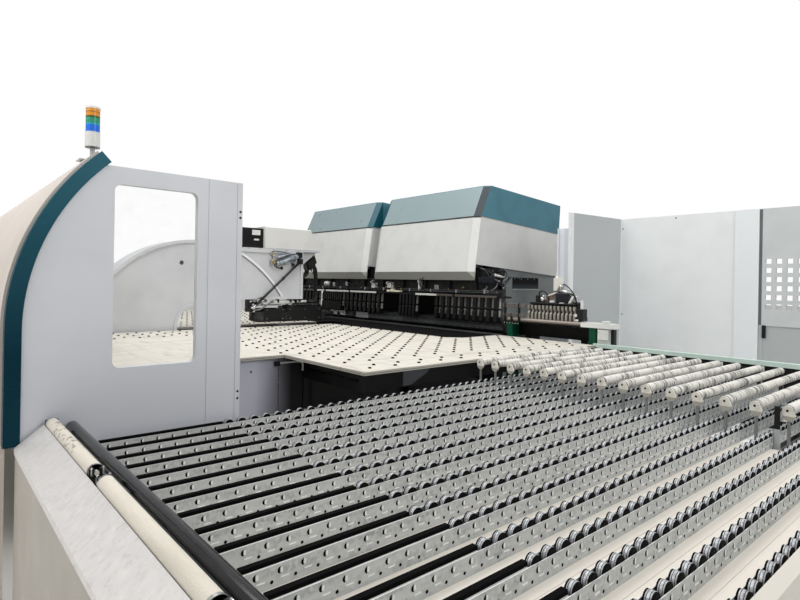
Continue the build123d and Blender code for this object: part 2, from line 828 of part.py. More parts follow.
def conveyor_frame():
    """Front beam and ledge, front panel, side beams, cross beams, pan, legs and lift tubes."""
    left, right = conveyor_left_x, conveyor_right_x
    pieces = []
    front = block((wall_outer_x, right), front_beam_y, front_beam_z)
    front += block((left, right), (front_beam_y[1], tube_y + tube_radius),
                   (front_beam_z[0], tube_z - tube_radius - seat_gap))
    pieces.append(front)
    panel_y = fascia_bottom[0] + fascia_sheet + seat_gap
    panel = block((left, right), (panel_y, panel_y + 8), (40, fascia_bottom[1] - fascia_return))
    panel += block((left, right), (panel_y, front_beam_y[0]),
                   (fascia_bottom[1] - fascia_return - 20, fascia_bottom[1] - fascia_return))
    pieces.append(panel)
    beam_top = rail_low_z
    left_x = (table_right_x + beam_gap, table_right_x + beam_gap + side_beam_width)
    right_x = (right - side_beam_width, right)
    pieces.append(block(left_x, (wall_rear_y + 40, conveyor_rear_y), (beam_top - side_beam_height, beam_top)))
    pieces.append(block(right_x, (tube_y + tube_radius, conveyor_rear_y),
                        (beam_top - side_beam_height, front_beam_z[1])))
    for y in cross_beam_ys:
        top = rail_low_z - pan_thick if y < pan_rear_y else rail_low_z
        x0 = left if y < wall_rear_y else left_x[1]
        pieces.append(block((x0, right_x[0]), (y - cross_beam_width / 2, y + cross_beam_width / 2),
                            (rail_low_z - pan_thick - cross_beam_depth, top)))
    pieces.append(block((left, right_x[0]), (tube_y + tube_radius, pan_rear_y),
                        (rail_low_z - pan_thick, rail_low_z)))
    low = beam_top - side_beam_height
    for y in (front_leg_y, *cross_ys):
        for x0, x1 in (left_x, right_x):
            pieces.append(block((x0, x1), (y - conveyor_leg / 2, y + conveyor_leg / 2), (0, low)))
    for x in (left + 40, (left + right) / 2, right - 40):
        pieces.append(block((x - conveyor_leg / 2, x + conveyor_leg / 2), front_beam_y, (0, front_beam_z[0])))
    for x in (left_x, right_x):
        z0 = beam_top if x is left_x else front_beam_z[1]
        pieces.append(block(x, rear_rail_y, (z0, rear_rail_z[0])))
    for x in (lift_tie_xs[0], lift_tie_xs[-1]):
        for y in lift_bar_ys():
            outer, inner = lift_tube_half, lift_rod_radius + run_gap
            tube = block((x - outer, x + outer), (y - outer, y + outer), (0, lift_tube_top_z))
            tube -= block((x - inner, x + inner), (y - inner, y + inner),
                          (lift_rod_low_z - lift_travel - 20, lift_tube_top_z + 1))
            pieces.append(tube)
    return pieces


def skate_rail(x):
    """Folded channel, open at the top."""
    half = rail_width / 2
    inner = half - rail_sheet
    floor_z = rail_low_z + rail_sheet
    face = outline([(-half, rail_low_z), (-half, rail_top_z), (-inner, rail_top_z), (-inner, floor_z),
                    (inner, floor_z), (inner, rail_top_z), (half, rail_top_z), (half, rail_low_z)])
    face = Plane.XZ.offset(-rail_rear_y) * (Pos(x, 0) * face)
    return extrude(face, amount=rail_rear_y - rail_front_y)


def strip_end(i):
    """Y where the brush of rail i ends; every other one is half a wheel pitch longer."""
    return brush_strip_y[1] + (i % 2) * wheel_pitch / 2


def wheel_row(i):
    """Envelope of one row of skate wheels between the flanges of its rail."""
    x = rail_first_x + i * rail_pitch
    half = rail_width / 2 - rail_sheet - seat_gap
    return block((x - half, x + half), (strip_end(i) + 8, row_rear_y),
                 (wheel_row_top_z - skate_wheel_diameter, wheel_row_top_z))


def brush_strip(i):
    """Brush in the front stretch of rail i, nearer its left flange."""
    x = rail_first_x + i * rail_pitch + brush_strip_shift
    half = brush_strip_width / 2
    return block((x - half, x + half), (brush_strip_y[0], strip_end(i)),
                 (rail_low_z + rail_sheet + seat_gap, brush_strip_top_z))


def felt_roller(span):
    """Felt-covered roller with its two journals."""
    roller = round_x(felt_y, felt_z, felt_radius, span)
    return roller + round_x(felt_y, felt_z, journal_radius, (span[0] - felt_block, span[1] + felt_block))


def felt_blocks():
    """End blocks of the felt rollers, standing on the front beam."""
    pieces = []
    for x0, x1 in felt_spans:
        reach = felt_end_gap + felt_block
        for x in ((x0 - reach, x0 - felt_end_gap), (x1 + felt_end_gap, x1 + reach)):
            piece = block(x, (felt_y - felt_block_half, felt_y + felt_block_half),
                          (front_beam_z[1], felt_z + felt_block_rise))
            slot = journal_radius + run_gap
            pieces.append(piece - block((x[0] - 1, x[1] + 1), (felt_y - slot, felt_y + slot),
                                        (felt_z - slot, felt_z + felt_block_rise + 1)))
    return pieces


# Lifting roller bed

def lift_bar_ys():
    """Y of the two bars under the roller brackets."""
    return (roller_front_y, roller_rear_y)


def lift_frame():
    """Two bars tied by three beams, with the rods that run in the lift tubes."""
    left = roller_first_x - lift_bar_overhang
    right = roller_first_x + (roller_count - 1) * rail_pitch + 60
    low = lift_bar_top_z - lift_bar_height
    front, rear = lift_bar_ys()
    half = lift_bar_width / 2
    frame = block((left, right), (front - half, front + half), (low, lift_bar_top_z))
    frame += block((left, right), (rear - half, rear + half), (low, lift_bar_top_z))
    for x in lift_tie_xs:
        frame += block((x - half, x + half), (front, rear), (low, lift_bar_top_z - 5))
    for x in (lift_tie_xs[0], lift_tie_xs[-1]):
        for y in (front, rear):
            frame += round_z(x, y, lift_rod_radius, (lift_rod_low_z, low))
    return frame


def pocket(x, y):
    """Eight-sided pocket that a roller journal turns in."""
    face = Pos(x, roller_z) * RegularPolygon(roller_journal_radius + run_gap, 8, major_radius=False)
    return extrude(Plane.XZ.offset(-y[1]) * face, amount=y[1] - y[0])


def front_bracket(x):
    """Egg-shaped cap on the roller's front end, on a slim stem between two rails."""
    lobe_x, lobe_z, lobe_radius = bracket_lobe
    head = bracket_head_radius
    points = [(x + head * cos(radians(a)), roller_z + head * sin(radians(a))) for a in range(0, 181, 30)]
    points += [(x + lobe_x + lobe_radius * cos(radians(a)), roller_z + lobe_z + lobe_radius * sin(radians(a)))
               for a in range(180, 361, 30)]
    rear = roller_front_y - bracket_gap
    front = roller_front_y - bracket_cap
    body = extrude(Plane.XZ.offset(-rear) * outline(points), amount=rear - front)
    body += block((x + lobe_x - bracket_stem_half, x + lobe_x + bracket_stem_half), (front + 5, rear),
                  (lift_bar_top_z, roller_z + lobe_z))
    floor = roller_front_y - roller_journal - seat_gap
    body -= pocket(x, (floor, rear + 1))
    return body - round_y(x, roller_z, bracket_hole_radius, (front - 1, floor + 1))


def rear_bracket(x):
    """Slim upright that holds the journal at the roller's rear end."""
    low = roller_rear_y + bracket_gap
    half = rear_bracket_half
    body = block((x - half, x + half), (low, roller_rear_y + bracket_cap), (lift_bar_top_z, roller_z + half))
    return body - pocket(x, (low - 1, roller_rear_y + roller_journal + seat_gap))


def bed_roller(k):
    """Sleeved roller; its journals turn in the brackets."""
    x = roller_first_x + k * rail_pitch
    roller = round_y(x, roller_z, roller_radius, (roller_front_y, roller_rear_y))
    return roller + round_y(x, roller_z, roller_journal_radius,
                            (roller_front_y - roller_journal, roller_rear_y + roller_journal))


# Tool changer

def changer_rail():
    """Rail beside the press on its legs, with a tray behind it and an end post."""
    rail = block((changer_left_x, changer_rail_end_x), changer_y, changer_z)
    pieces = [rail]
    leg_y = (0, changer_y[1])
    for x in (changer_left_x + 60, changer_right_x - 60):
        pieces.append(block((x - 40, x + 40), leg_y, (0, changer_z[0])))
    pieces.append(block((counterblade_half, changer_left_x + 20), (0, counterblade_rear_y), (900, 1000)))
    tray = block((changer_left_x, changer_right_x - 40), changer_tray_y, changer_tray_z)
    tray -= block((changer_left_x + 12, changer_right_x - 52),
                  (changer_tray_y[0] + 12, changer_tray_y[1] - 12),
                  (changer_tray_z[0] + 12, changer_tray_z[1] + 1))
    pieces.append(tray)
    for x in (changer_left_x + 240, changer_right_x - 240):
        pieces.append(block((x - 40, x + 40), changer_tray_y, (0, changer_tray_z[0])))
    pieces.append(block(changer_post_x, (0, 90), (0, changer_z[0])))
    return pieces


def tool_carriage():
    """Sliding base with an upright back plate."""
    low = changer_z[1] + seat_gap
    base = block(carriage_x, carriage_y, (low, low + carriage_base))
    back = block(carriage_x, (carriage_y[0], carriage_y[0] + carriage_back), (low, carriage_back_z))
    return base + back


def tool_comb():
    """Tool segments parked side by side on the carriage."""
    pitch = (carriage_x[1] - carriage_x[0] - comb_width) / (comb_count - 1)
    rear = carriage_y[0] - seat_gap
    low = changer_z[1] + 2
    face = outline([(rear, low), (rear, comb_top_z), (rear - 60, comb_top_z), (rear - 60, comb_top_z - 40),
                    (rear - 36, comb_top_z - 70), (rear - 60, comb_top_z - 95), (rear - 60, low)])
    pieces = []
    for i in range(comb_count):
        x = carriage_x[0] + i * pitch
        pieces.append(along_x(face, (x, x + comb_width)))
    return pieces


# Guard fence

def fence_side(x, y, z):
    """Block in the line of the side panel: x across it, y along it from its front end."""
    (x0, y0), (x1, y1) = fence_start, fence_corner
    turn = -degrees(atan2(x1 - x0, y1 - y0))
    return Pos(x0, y0) * Rot(0, 0, turn) * block(x, y, z)


def guard_fence():
    """Side and rear sheet panels with their posts and a switch box."""
    corner_x, corner_y = fence_corner
    rear = (corner_y, corner_y + fence_sheet)
    length = hypot(corner_x - fence_start[0], corner_y - fence_start[1])
    full = (0, fence_top_z)
    panel = (fence_low_z, fence_top_z)
    end_post = door_right_x + hinge_room
    box_x = (-fence_post - seat_gap - box_size[0], -fence_post - seat_gap)
    return [
        fence_side((0, fence_sheet), (0, length - seat_gap), panel),
        fence_side((-fence_post, -seat_gap), (0, fence_post), (0, fence_short_post_z)),
        fence_side(box_x, (0, box_size[1]), (box_low_z, box_low_z + box_size[2])),
        block((corner_x - 15, corner_x + fence_post - 15), (corner_y, corner_y + fence_post), full),
        block((corner_x + fence_post - 15 + seat_gap, fence_mid_x - seat_gap), rear, panel),
        block((fence_mid_x, fence_mid_x + fence_mid_width), (corner_y - 10, corner_y + fence_post), full),
        block((end_post, end_post + fence_post), (corner_y, corner_y + fence_post), full)] + hinge_pins()


def hinge_pins():
    """Pins of the door hinges, each on an arm from the end post."""
    x = door_right_x + 5
    y = fence_corner[1] + fence_sheet + hinge_pin_radius + 4
    pins = []
    for z in door_hinge_zs:
        pin = round_z(x, y, hinge_pin_radius, (z - hinge_length, z + hinge_length))
        pin += block((x, door_right_x + hinge_room), (y - 3, y + 3), (z - hinge_length, z - run_gap))
        pins.append(pin)
    return pins


def guard_door():
    """Hinged panel with a grid of square holes and a stepped lower half."""
    front = fence_corner[1]
    left = fence_mid_x + fence_mid_width + 5
    door = block((left, door_right_x), (front, front + fence_sheet), (fence_low_z, fence_top_z))
    step = (fence_low_z + 60, door_split_z)
    door -= block((left + 40, door_right_x - 40), (front - 1, front + door_step), step)
    for i in range(door_hole_count):
        for j in range(door_hole_count):
            x = door_hole_first[0] + i * door_hole_pitch
            z = door_hole_first[1] - j * door_hole_pitch
            door -= block((x - door_hole / 2, x + door_hole / 2), (front - 1, front + fence_sheet + 1),
                          (z - door_hole / 2, z + door_hole / 2))
    x = door_right_x + 5
    y = front + fence_sheet + hinge_pin_radius + 4
    for z in door_hinge_zs:
        outer, bore = hinge_pin_radius + 3, hinge_pin_radius + run_gap
        knuckle = block((x - 40, x + outer), (front + fence_sheet, y + outer), (z, z + hinge_length))
        door += knuckle - block((x - bore, x + bore), (y - bore, y + bore), (z - 1, z + hinge_length + 1))
    return door


# Write every piece

save("press_base", press_base())
save("side_frames", *both_sides(side_frame()))
save("counterblade", counterblade())
save("blankholder_beam", opened(blankholder_beam()))
save("blankholder_arms", *[opened(arm) for arm in both_sides(blankholder_arm())])
segments = []
for first_x, last_x, pitch, width in tool_groups:
    gaps = round((last_x - first_x) / pitch)
    for i in range(gaps + 1):
        segments.append(opened(tool_segment(first_x + i * (last_x - first_x) / gaps, width)))
save("blankholder_tools", *segments)
lower_shell = opened(cover_lower())
upper_shell = opened(cover_upper())
save("cover_right_lower", lower_shell)
save("cover_left_lower", mirror(lower_shell, about=Plane.YZ))
save("cover_right_upper", upper_shell)
save("cover_left_upper", mirror(upper_shell, about=Plane.YZ))
save("blade_carrier", blade_carrier())
save("bending_blades", *bending_blades())

plates = []
frames = []
for piece in table_plates():
    plates += both_sides(piece)
for piece in table_frame():
    frames += both_sides(piece)
for side in (-1, 1):
    track_x = sorted((side * track_inner, side * track_outer))
    frames.append(block(track_x, (track_front_y, track_rear_y), (0, track_height)))
save("table_tops", *plates)
save("table_frame", *frames)
brushes = [brush_field()]
brushes += [brush_strip(i) for i in range(rail_count)]
save("black_brushes", *brushes)

save("manipulator_frame", manipulator_frame())
save("manipulator_head", manipulator_head())
save("manipulator_motor", manipulator_motor())
save("clamp_ram", round_z(0, gripper_y, ram_radius - run_gap, (gripper_top_z + seat_gap, ram_top_z)))
save("upper_gripper", upper_gripper())
save("lower_gripper", lower_gripper())

save("front_shield", front_shield())
save("shield_trims", *both_sides(shield_trim()))
wall_right = end_wall()
save("end_wall_right", wall_right)
save("end_wall_left", mirror(wall_right, about=Plane.YZ))
pane_x = wall_outer_x - wall_thick / 2
pane = along_x(window_face(seat_gap), (pane_x - pane_thick / 2, pane_x + pane_thick / 2))
save("window_panes", *both_sides(pane))
save("signal_tower", *signal_tower())

save("conveyor_fascia", fascia())
save("conveyor_frame", *conveyor_frame())
save("skate_rails", *[skate_rail(rail_first_x + i * rail_pitch) for i in range(rail_count)])
save("wheel_rows", *[wheel_row(i) for i in range(rail_count)])
save("front_tube", round_x(tube_y, tube_z, tube_radius, (conveyor_left_x, conveyor_right_x)))
save("felt_roller_blocks", *felt_blocks())
save("rear_rail", block((table_right_x - 38, conveyor_right_x), rear_rail_y, rear_rail_z))
for number, span in enumerate(felt_spans, 1):
    save(f"felt_roller_{number}", felt_roller(span))
save("lift_frame", lift_frame())
xs = [roller_first_x + k * rail_pitch for k in range(roller_count)]
save("roller_brackets", *[front_bracket(x) for x in xs], *[rear_bracket(x) for x in xs])
for k in range(roller_count):
    save(f"bed_roller_{k + 1:02d}", bed_roller(k))

save("changer_rail", *changer_rail())
save("tool_carriage", tool_carriage())
save("tool_comb", *tool_comb())
save("guard_fence", *guard_fence())
save("guard_door", guard_door())
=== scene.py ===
"""Panel bender: finishes, skate wheels, brush tufts, punched rails, hoses, lights and camera."""

import math

import bpy
import numpy as np
from mathutils import Matrix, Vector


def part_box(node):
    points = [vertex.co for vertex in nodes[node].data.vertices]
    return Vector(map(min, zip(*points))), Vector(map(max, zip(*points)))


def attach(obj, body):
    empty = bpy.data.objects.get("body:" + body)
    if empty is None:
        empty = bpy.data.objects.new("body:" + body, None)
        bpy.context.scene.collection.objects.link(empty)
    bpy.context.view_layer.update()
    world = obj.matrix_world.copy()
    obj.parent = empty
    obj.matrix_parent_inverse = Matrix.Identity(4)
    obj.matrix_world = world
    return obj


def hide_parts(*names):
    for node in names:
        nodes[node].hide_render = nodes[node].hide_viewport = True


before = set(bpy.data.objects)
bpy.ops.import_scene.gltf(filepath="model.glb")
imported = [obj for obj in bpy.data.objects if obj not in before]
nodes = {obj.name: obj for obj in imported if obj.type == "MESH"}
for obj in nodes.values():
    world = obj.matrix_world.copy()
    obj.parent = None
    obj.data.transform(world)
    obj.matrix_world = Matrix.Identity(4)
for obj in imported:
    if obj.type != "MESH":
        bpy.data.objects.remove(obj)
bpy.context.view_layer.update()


# Places that several pieces share, in metres

RAIL_PITCH = 0.152
FIRST_RAIL = 4.165
FIRST_ROLLER = 4.089
WHEEL_PITCH = 0.075
WHEEL_LEVEL = 0.906
RAIL_HALF = 0.019
HINGE_Y, HINGE_Z = 1.95, 1.4
REST_TILT = math.radians(-3.7)
OUT_RIGHT, OUT_LEFT, OUT_FRONT = (1, 0, 0), (-1, 0, 0), (0, -1, 0)


# Camera: the photo's viewing angle, level, turned 49 degrees to the left, leaning 1 degree

CAMERA_PLACE = (7.08, -5.53, 1.7)
CAMERA_TURN, CAMERA_LEAN = math.radians(49.0), math.radians(1.0)
LENS_MM, SENSOR_MM = 24.975, 36.0
FRAME_SHIFT = -0.0225


def photo_camera():
    """Camera axes for turn y and lean r: right = cos r (cos y, sin y, 0) + sin r up, top = cos r up
    - sin r (cos y, sin y, 0), forward = (-sin y, cos y, 0)."""
    yaw, roll = CAMERA_TURN, CAMERA_LEAN
    forward = np.array([-math.sin(yaw), math.cos(yaw), 0.0])
    level = np.array([math.cos(yaw), math.sin(yaw), 0.0])
    up = np.array([0.0, 0.0, 1.0])
    right = math.cos(roll) * level + math.sin(roll) * up
    top = math.cos(roll) * up - math.sin(roll) * level
    data = bpy.data.cameras.new("photo_camera")
    data.lens = LENS_MM
    data.sensor_width = SENSOR_MM
    data.shift_y = FRAME_SHIFT
    data.clip_end = 200.0
    camera = bpy.data.objects.new("photo_camera", data)
    rows = [(*axes, place) for *axes, place in zip(right, top, -forward, CAMERA_PLACE)]
    camera.matrix_world = Matrix(rows + [(0, 0, 0, 1)])
    bpy.context.scene.collection.objects.link(camera)
    bpy.context.scene.camera = camera


# Shapes as whole arrays

def quads(rows, cols, close_cols=False):
    """Faces of a rows by cols grid of points; point (i, j) has index i * cols + j."""
    i = np.arange(rows - 1)
    j = np.arange(cols if close_cols else cols - 1)
    i, j = (a.ravel() for a in np.meshgrid(i, j, indexing="ij"))
    k = (j + 1) % cols
    return np.stack([i * cols + k, (i + 1) * cols + k, (i + 1) * cols + j, i * cols + j], 1)


def circle(count, first, second):
    """Ring of count directions: cos a * first + sin a * second."""
    a = np.arange(count) * 2 * np.pi / count
    return np.cos(a)[:, None] * first + np.sin(a)[:, None] * second


def end_fans(rows, count):
    """Triangles that close both ends of a grid of rings; the two end points follow the grid's
    points."""
    first = np.arange(count)
    after = (first + 1) % count
    last = (rows - 1) * count
    low = np.full(count, rows * count)
    return [np.stack([low, after, first], 1), np.stack([low + 1, last + first, last + after], 1)]


def turned(profile, axis, count):
    """Body of revolution: P = h * axis + r * (cos a * u + sin a * v) for each (r, h) and angle
    a."""
    axis = np.asarray(axis, float)
    u = np.roll(axis, 1)
    ring = circle(count, u, np.cross(axis, u))
    r, h = np.asarray(profile, float).T
    points = (h[:, None, None] * axis + r[:, None, None] * ring).reshape(-1, 3)
    points = np.vstack([points, h[0] * axis, h[-1] * axis])
    return points, [quads(len(r), count, close_cols=True)] + end_fans(len(r), count)


UNIT = np.array([[x, y, z] for x in (0, 1) for y in (0, 1) for z in (0, 1)], float)
SIDES = np.array(
    [[0, 1, 3, 2], [4, 6, 7, 5], [0, 4, 5, 1], [2, 3, 7, 6], [0, 2, 6, 4], [1, 5, 7, 3]])


def boxes(lows, highs):
    """Blocks between pairs of corners: P = low + unit corner * (high - low)."""
    lows, highs = np.asarray(lows, float), np.asarray(highs, float)
    points = (lows[:, None] + UNIT * (highs - lows)[:, None]).reshape(-1, 3)
    shift = (np.arange(len(lows)) * 8)[:, None, None]
    return points, [(SIDES + shift).reshape(-1, 4)]


def cut_block_faces():
    """Faces of a block whose edges are cut. Point 3 c + a belongs to corner c = 4 x + 2 y + z and
    lies on the side across axis a; each face lists its points anticlockwise seen from outside."""
    weight = (4, 2, 1)
    four = []
    for a in range(3):
        b, c = (a + 1) % 3, (a + 2) % 3
        side = np.array([0, weight[b], weight[b] + weight[c], weight[c]])
        four += [3 * side[::-1] + a, 3 * (side + weight[a]) + a]
        for s, t in ((0, 0), (0, 1), (1, 0), (1, 1)):
            low = s * weight[b] + t * weight[c]
            strip = np.array(
                [3 * low + b, 3 * (low + weight[a]) + b, 3 * (low + weight[a]) + c, 3 * low + c])
            four.append(strip[::-1] if s == t else strip)
    corner = np.arange(8)[:, None] * 3 + np.arange(3)
    turn = (2 * UNIT - 1).prod(axis=1) < 0
    return np.array(four), np.where(turn[:, None], corner[:, ::-1], corner)


def cases(lows, highs, cut):
    """Blocks with cut edges between pairs of corners: P = middle + sign * (half size - cut * (1 -
    e)), where e is the axis of the side that the point lies on."""
    lows, highs = np.asarray(lows, float), np.asarray(highs, float)
    middle, half = (lows + highs) / 2, (highs - lows) / 2
    sign = (2 * UNIT - 1)[None, :, None, :]
    inset = cut * (1 - np.eye(3))[None, None]
    points = middle[:, None, None] + sign * (half[:, None, None] - inset)
    shift = (np.arange(len(lows)) * 24)[:, None, None]
    return points.reshape(-1, 3), [(f[None] + shift).reshape(-1, f.shape[1])
                                   for f in cut_block_faces()]


def slanted(origins, edges):
    """Slanting flat bars: P = origin + x u + y v + z w for the three edge vectors and unit corners
    x, y, z."""
    shapes = []
    for origin, edge in zip(np.asarray(origins, float), np.asarray(edges, float)):
        faces = SIDES if np.linalg.det(edge) > 0 else SIDES[:, ::-1]
        shapes.append((origin + UNIT @ edge, [faces]))
    return joined(*shapes)


def copies(shape, offsets):
    """The shape at every offset: P' = P + offset."""
    points, faces = shape
    offsets = np.asarray(offsets, float)
    placed = (points[None] + offsets[:, None]).reshape(-1, 3)
    shift = (np.arange(len(offsets)) * len(points))[:, None, None]
    return placed, [(f[None] + shift).reshape(-1, f.shape[1]) for f in faces]


def joined(*shapes):
    """Several shapes as one list of points and faces."""
    points, faces, count = [], [], 0
    for p, fs in shapes:
        points.append(p)
        faces += [f + count for f in fs]
        count += len(p)
    return np.vstack(points), faces


OFF_AXIS = (0.31, 0.17, 0.93)


def tube(route, radius, count=10, steps=10):
    """Hose: a circle carried along a smooth curve. Between route points p1 and p2 the centre is 0.5
    (2 p1 + (p2 - p0) t + (2 p0 - 5 p1 + 4 p2 - p3) t^2 + (3 p1 - p0 - 3 p2 + p3) t^3). The circle
    lies across the curve, drawn from OFF_AXIS, a direction that no hose here runs along."""
    p = np.asarray(route, float)
    p = np.vstack([2 * p[0] - p[1], p, 2 * p[-1] - p[-2]])
    t = np.linspace(0, 1, steps, endpoint=False)[None, :, None]
    p0, p1, p2, p3 = (p[k:len(p) - 3 + k][:, None] for k in range(4))
    centre = 0.5 * (2 * p1 + (p2 - p0) * t + (2 * p0 - 5 * p1 + 4 * p2 - p3) * t ** 2 + (
                        3 * p1 - p0 - 3 * p2 + p3) * t ** 3)
    centre = np.vstack([centre.reshape(-1, 3), p[-2]])
    tangent = np.gradient(centre, axis=0)
    tangent /= np.linalg.norm(tangent, axis=1)[:, None]
    side = np.cross(tangent, OFF_AXIS)
    side /= np.linalg.norm(side, axis=1)[:, None]
    ring = circle(count, side[:, None], np.cross(tangent, side)[:, None])
    points = (centre[:, None] + radius * ring).reshape(-1, 3)
    rows = len(centre)
    walls = quads(rows, count, close_cols=True)[:, ::-1]
    fans = [fan[:, [0, 2, 1]] for fan in end_fans(rows, count)]
    return np.vstack([points, centre[0], centre[-1]]), [walls] + fans


def rod(start, end, radius, count=12):
    """Straight round bar between two points: a tube with a two-point route."""
    return tube([start, end], radius, count, 1)


def discs(spots, radius, thick, axis, count=10):
    """Short round heads of equal size, standing out along the axis from every spot."""
    return copies(turned([(radius, 0.0), (radius * 0.8, thick)], axis, count), spots)


def piece(name, shape, material, body="machine", smooth=False):
    """Mesh object from points and faces, with one material, riding on a body."""
    points, faces = shape
    mesh = bpy.data.meshes.new(name)
    loops = np.concatenate([f.ravel() for f in faces]).astype(np.int32)
    sizes = np.concatenate([np.full(len(f), f.shape[1]) for f in faces])
    starts = np.concatenate([[0], np.cumsum(sizes)[:-1]]).astype(np.int32)
    mesh.vertices.add(len(points))
    mesh.vertices.foreach_set("co", points.astype(np.float32).ravel())
    mesh.loops.add(len(loops))
    mesh.loops.foreach_set("vertex_index", loops)
    mesh.polygons.add(len(sizes))
    mesh.polygons.foreach_set("loop_start", starts)
    mesh.polygons.foreach_set("use_smooth", np.full(len(sizes), smooth))
    mesh.update(calc_edges=True)
    mesh.materials.append(material)
    made = bpy.data.objects.new(name, mesh)
    bpy.context.scene.collection.objects.link(made)
    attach(made, body)
    return made


def block_piece(name, material, body, cut, *rows):
    """Piece of blocks with cut edges; a row holds the low corner, then the high corner."""
    rows = np.array(rows, float)
    return piece(name, cases(rows[:, :3], rows[:, 3:], cut), material, body)


def bar_piece(name, material, body, *rows):
    """Smooth piece of round bars; a row holds the start, the end and the radius."""
    bars = [rod(row[:3], row[3:6], row[6]) for row in rows]
    return piece(name, joined(*bars), material, body, smooth=True)


def hose_piece(name, material, body, *rows, count=10):
    """Smooth piece of hoses; a row holds the radius, then the points of its route."""
    hoses = [tube(route, radius, count) for radius, *route in rows]
    return piece(name, joined(*hoses), material, body, smooth=True)


# Finishes

def linear(code):
    """sRGB hex code to linear red, green, blue, 1."""
    s = np.array([int(code[k:k + 2], 16) for k in (1, 3, 5)]) / 255
    return (*np.where(s <= 0.04045, s / 12.92, ((s + 0.055) / 1.055) ** 2.4), 1.0)


def add(tree, kind, inputs=None, **settings):
    """One shader node with its settings; an input value that is a socket is linked."""
    made = tree.nodes.new(kind)
    for key, value in settings.items():
        setattr(made, key, value)
    for key, value in (inputs or {}).items():
        if isinstance(value, bpy.types.NodeSocket):
            tree.links.new(value, made.inputs[key])
        else:
            made.inputs[key].default_value = value
    return made


def finish(name, levels):
    """Material with its shader's even levels set; returns it, its tree, shader and object
    coordinates."""
    material = bpy.data.materials.new(name)
    material.use_nodes = True
    tree = material.node_tree
    shader = tree.nodes["Principled BSDF"]
    for key, value in levels.items():
        shader.inputs[key].default_value = value
    place = add(tree, "ShaderNodeTexCoord").outputs["Object"]
    return material, tree, shader, place


def blend_colours(tree, factor, first, second):
    """Colour mix; first where the factor is 0."""
    mix = add(tree, "ShaderNodeMix", data_type="RGBA")
    tree.links.new(factor, mix.inputs["Factor"])
    for key, colour in (("A", first), ("B", second)):
        socket = [s for s in mix.inputs if s.name == key and s.type == "RGBA"][0]
        if isinstance(colour, bpy.types.NodeSocket):
            tree.links.new(colour, socket)
        else:
            socket.default_value = linear(colour)
    return [s for s in mix.outputs if s.type == "RGBA"][0]


def clouds(tree, place, scale, low, high, detail=3.0, stretch=(1, 1, 1)):
    """Soft noise from 0 to 1 between the two noise levels, scale in cycles per metre."""
    spread = add(tree, "ShaderNodeMapping", {"Vector": place, "Scale": stretch}).outputs["Vector"]
    noise = add(tree, "ShaderNodeTexNoise", {"Vector": spread, "Scale": scale, "Detail": detail})
    ramp = add(
        tree, "ShaderNodeMapRange",
        {"Value": noise.outputs["Fac"], "From Min": low, "From Max": high})
    return ramp.outputs["Result"]


def relief(tree, shader, height, strength, depth):
    """Bump on the shader; depth in metres."""
    bump = add(tree, "ShaderNodeBump", {"Height": height, "Strength": strength, "Distance": depth})
    tree.links.new(bump.outputs["Normal"], shader.inputs["Normal"])


def region(tree, place, limits):
    """1 inside the given object-space limits (x counts to both sides of the middle), else 0. A pair
    (y, z) in place of an axis name gives limits on the distance from that line along X."""
    split = add(tree, "ShaderNodeSeparateXYZ", {"Vector": place})
    inside = None
    for axis, (low, high) in limits.items():
        if isinstance(axis, tuple):
            sides = []
            for name, middle in zip("YZ", axis):
                side = add(
                    tree, "ShaderNodeMath", {0: split.outputs[name], 1: middle},
                    operation="SUBTRACT")
                sides.append(side.outputs["Value"])
            flat = add(
                tree, "ShaderNodeCombineXYZ", {"X": sides[0], "Y": sides[1]}).outputs["Vector"]
            value = add(
                tree, "ShaderNodeVectorMath", {0: flat}, operation="LENGTH").outputs["Value"]
        else:
            value = split.outputs[axis]
        if axis == "X":
            value = add(tree, "ShaderNodeMath", {0: value}, operation="ABSOLUTE").outputs["Value"]
        test = add(
            tree, "ShaderNodeMath", {0: value, 1: (low + high) / 2, 2: (high - low) / 2},
            operation="COMPARE").outputs["Value"]
        if inside is not None:
            test = add(
                tree, "ShaderNodeMath", {0: test, 1: inside}, operation="MULTIPLY").outputs["Value"]
        inside = test
    return inside


def recoloured(tree, place, base, areas):
    """The base colour with other colours in areas, each given with the limits it lies in."""
    for other, limits in areas:
        base = blend_colours(tree, region(tree, place, limits), base, other)
    return base


def uneven_roughness(tree, shader, value, low, high):
    """Roughness that goes from low to high with a value from 0 to 1."""
    spread = add(tree, "ShaderNodeMapRange", {"Value": value, "To Min": low, "To Max": high})
    tree.links.new(spread.outputs["Result"], shader.inputs["Roughness"])


def powder_coat(name, colour, dirt, rough=0.42, areas=(), fades=(), gloss=0.5):
    """Powder coat on steel sheet: satin, orange peel of a few millimetres, faint hand marks 0.3 m
    across. Areas are other colours of the same coat, or painted highlight and painted shade where a
    coat's comment says so. Fades go over to another colour from one level to the next along an
    axis, inside their limits. Gloss is 0.5 for a clean coat, less where it is dull or oily."""
    material, tree, shader, place = finish(name, {"Specular IOR Level": gloss})
    marks = clouds(tree, place, 3.2, 0.45, 0.75, 5.0)
    base = recoloured(tree, place, blend_colours(tree, marks, colour, dirt), areas)
    for other, axis, start, end, limits in fades:
        level = add(tree, "ShaderNodeSeparateXYZ", {"Vector": place}).outputs[axis]
        part = add(
            tree, "ShaderNodeMapRange",
            {"Value": level, "From Min": start, "From Max": end}).outputs["Result"]
        part = add(
            tree, "ShaderNodeMath", {0: part, 1: region(tree, place, limits)},
            operation="MULTIPLY").outputs["Value"]
        base = blend_colours(tree, part, base, other)
    tree.links.new(base, shader.inputs["Base Color"])
    uneven_roughness(tree, shader, clouds(tree, place, 5.0, 0.3, 0.7), rough - 0.05, rough + 0.08)
    relief(tree, shader, clouds(tree, place, 260.0, 0.3, 0.7, 1.0), 0.15, 0.0004)
    return material


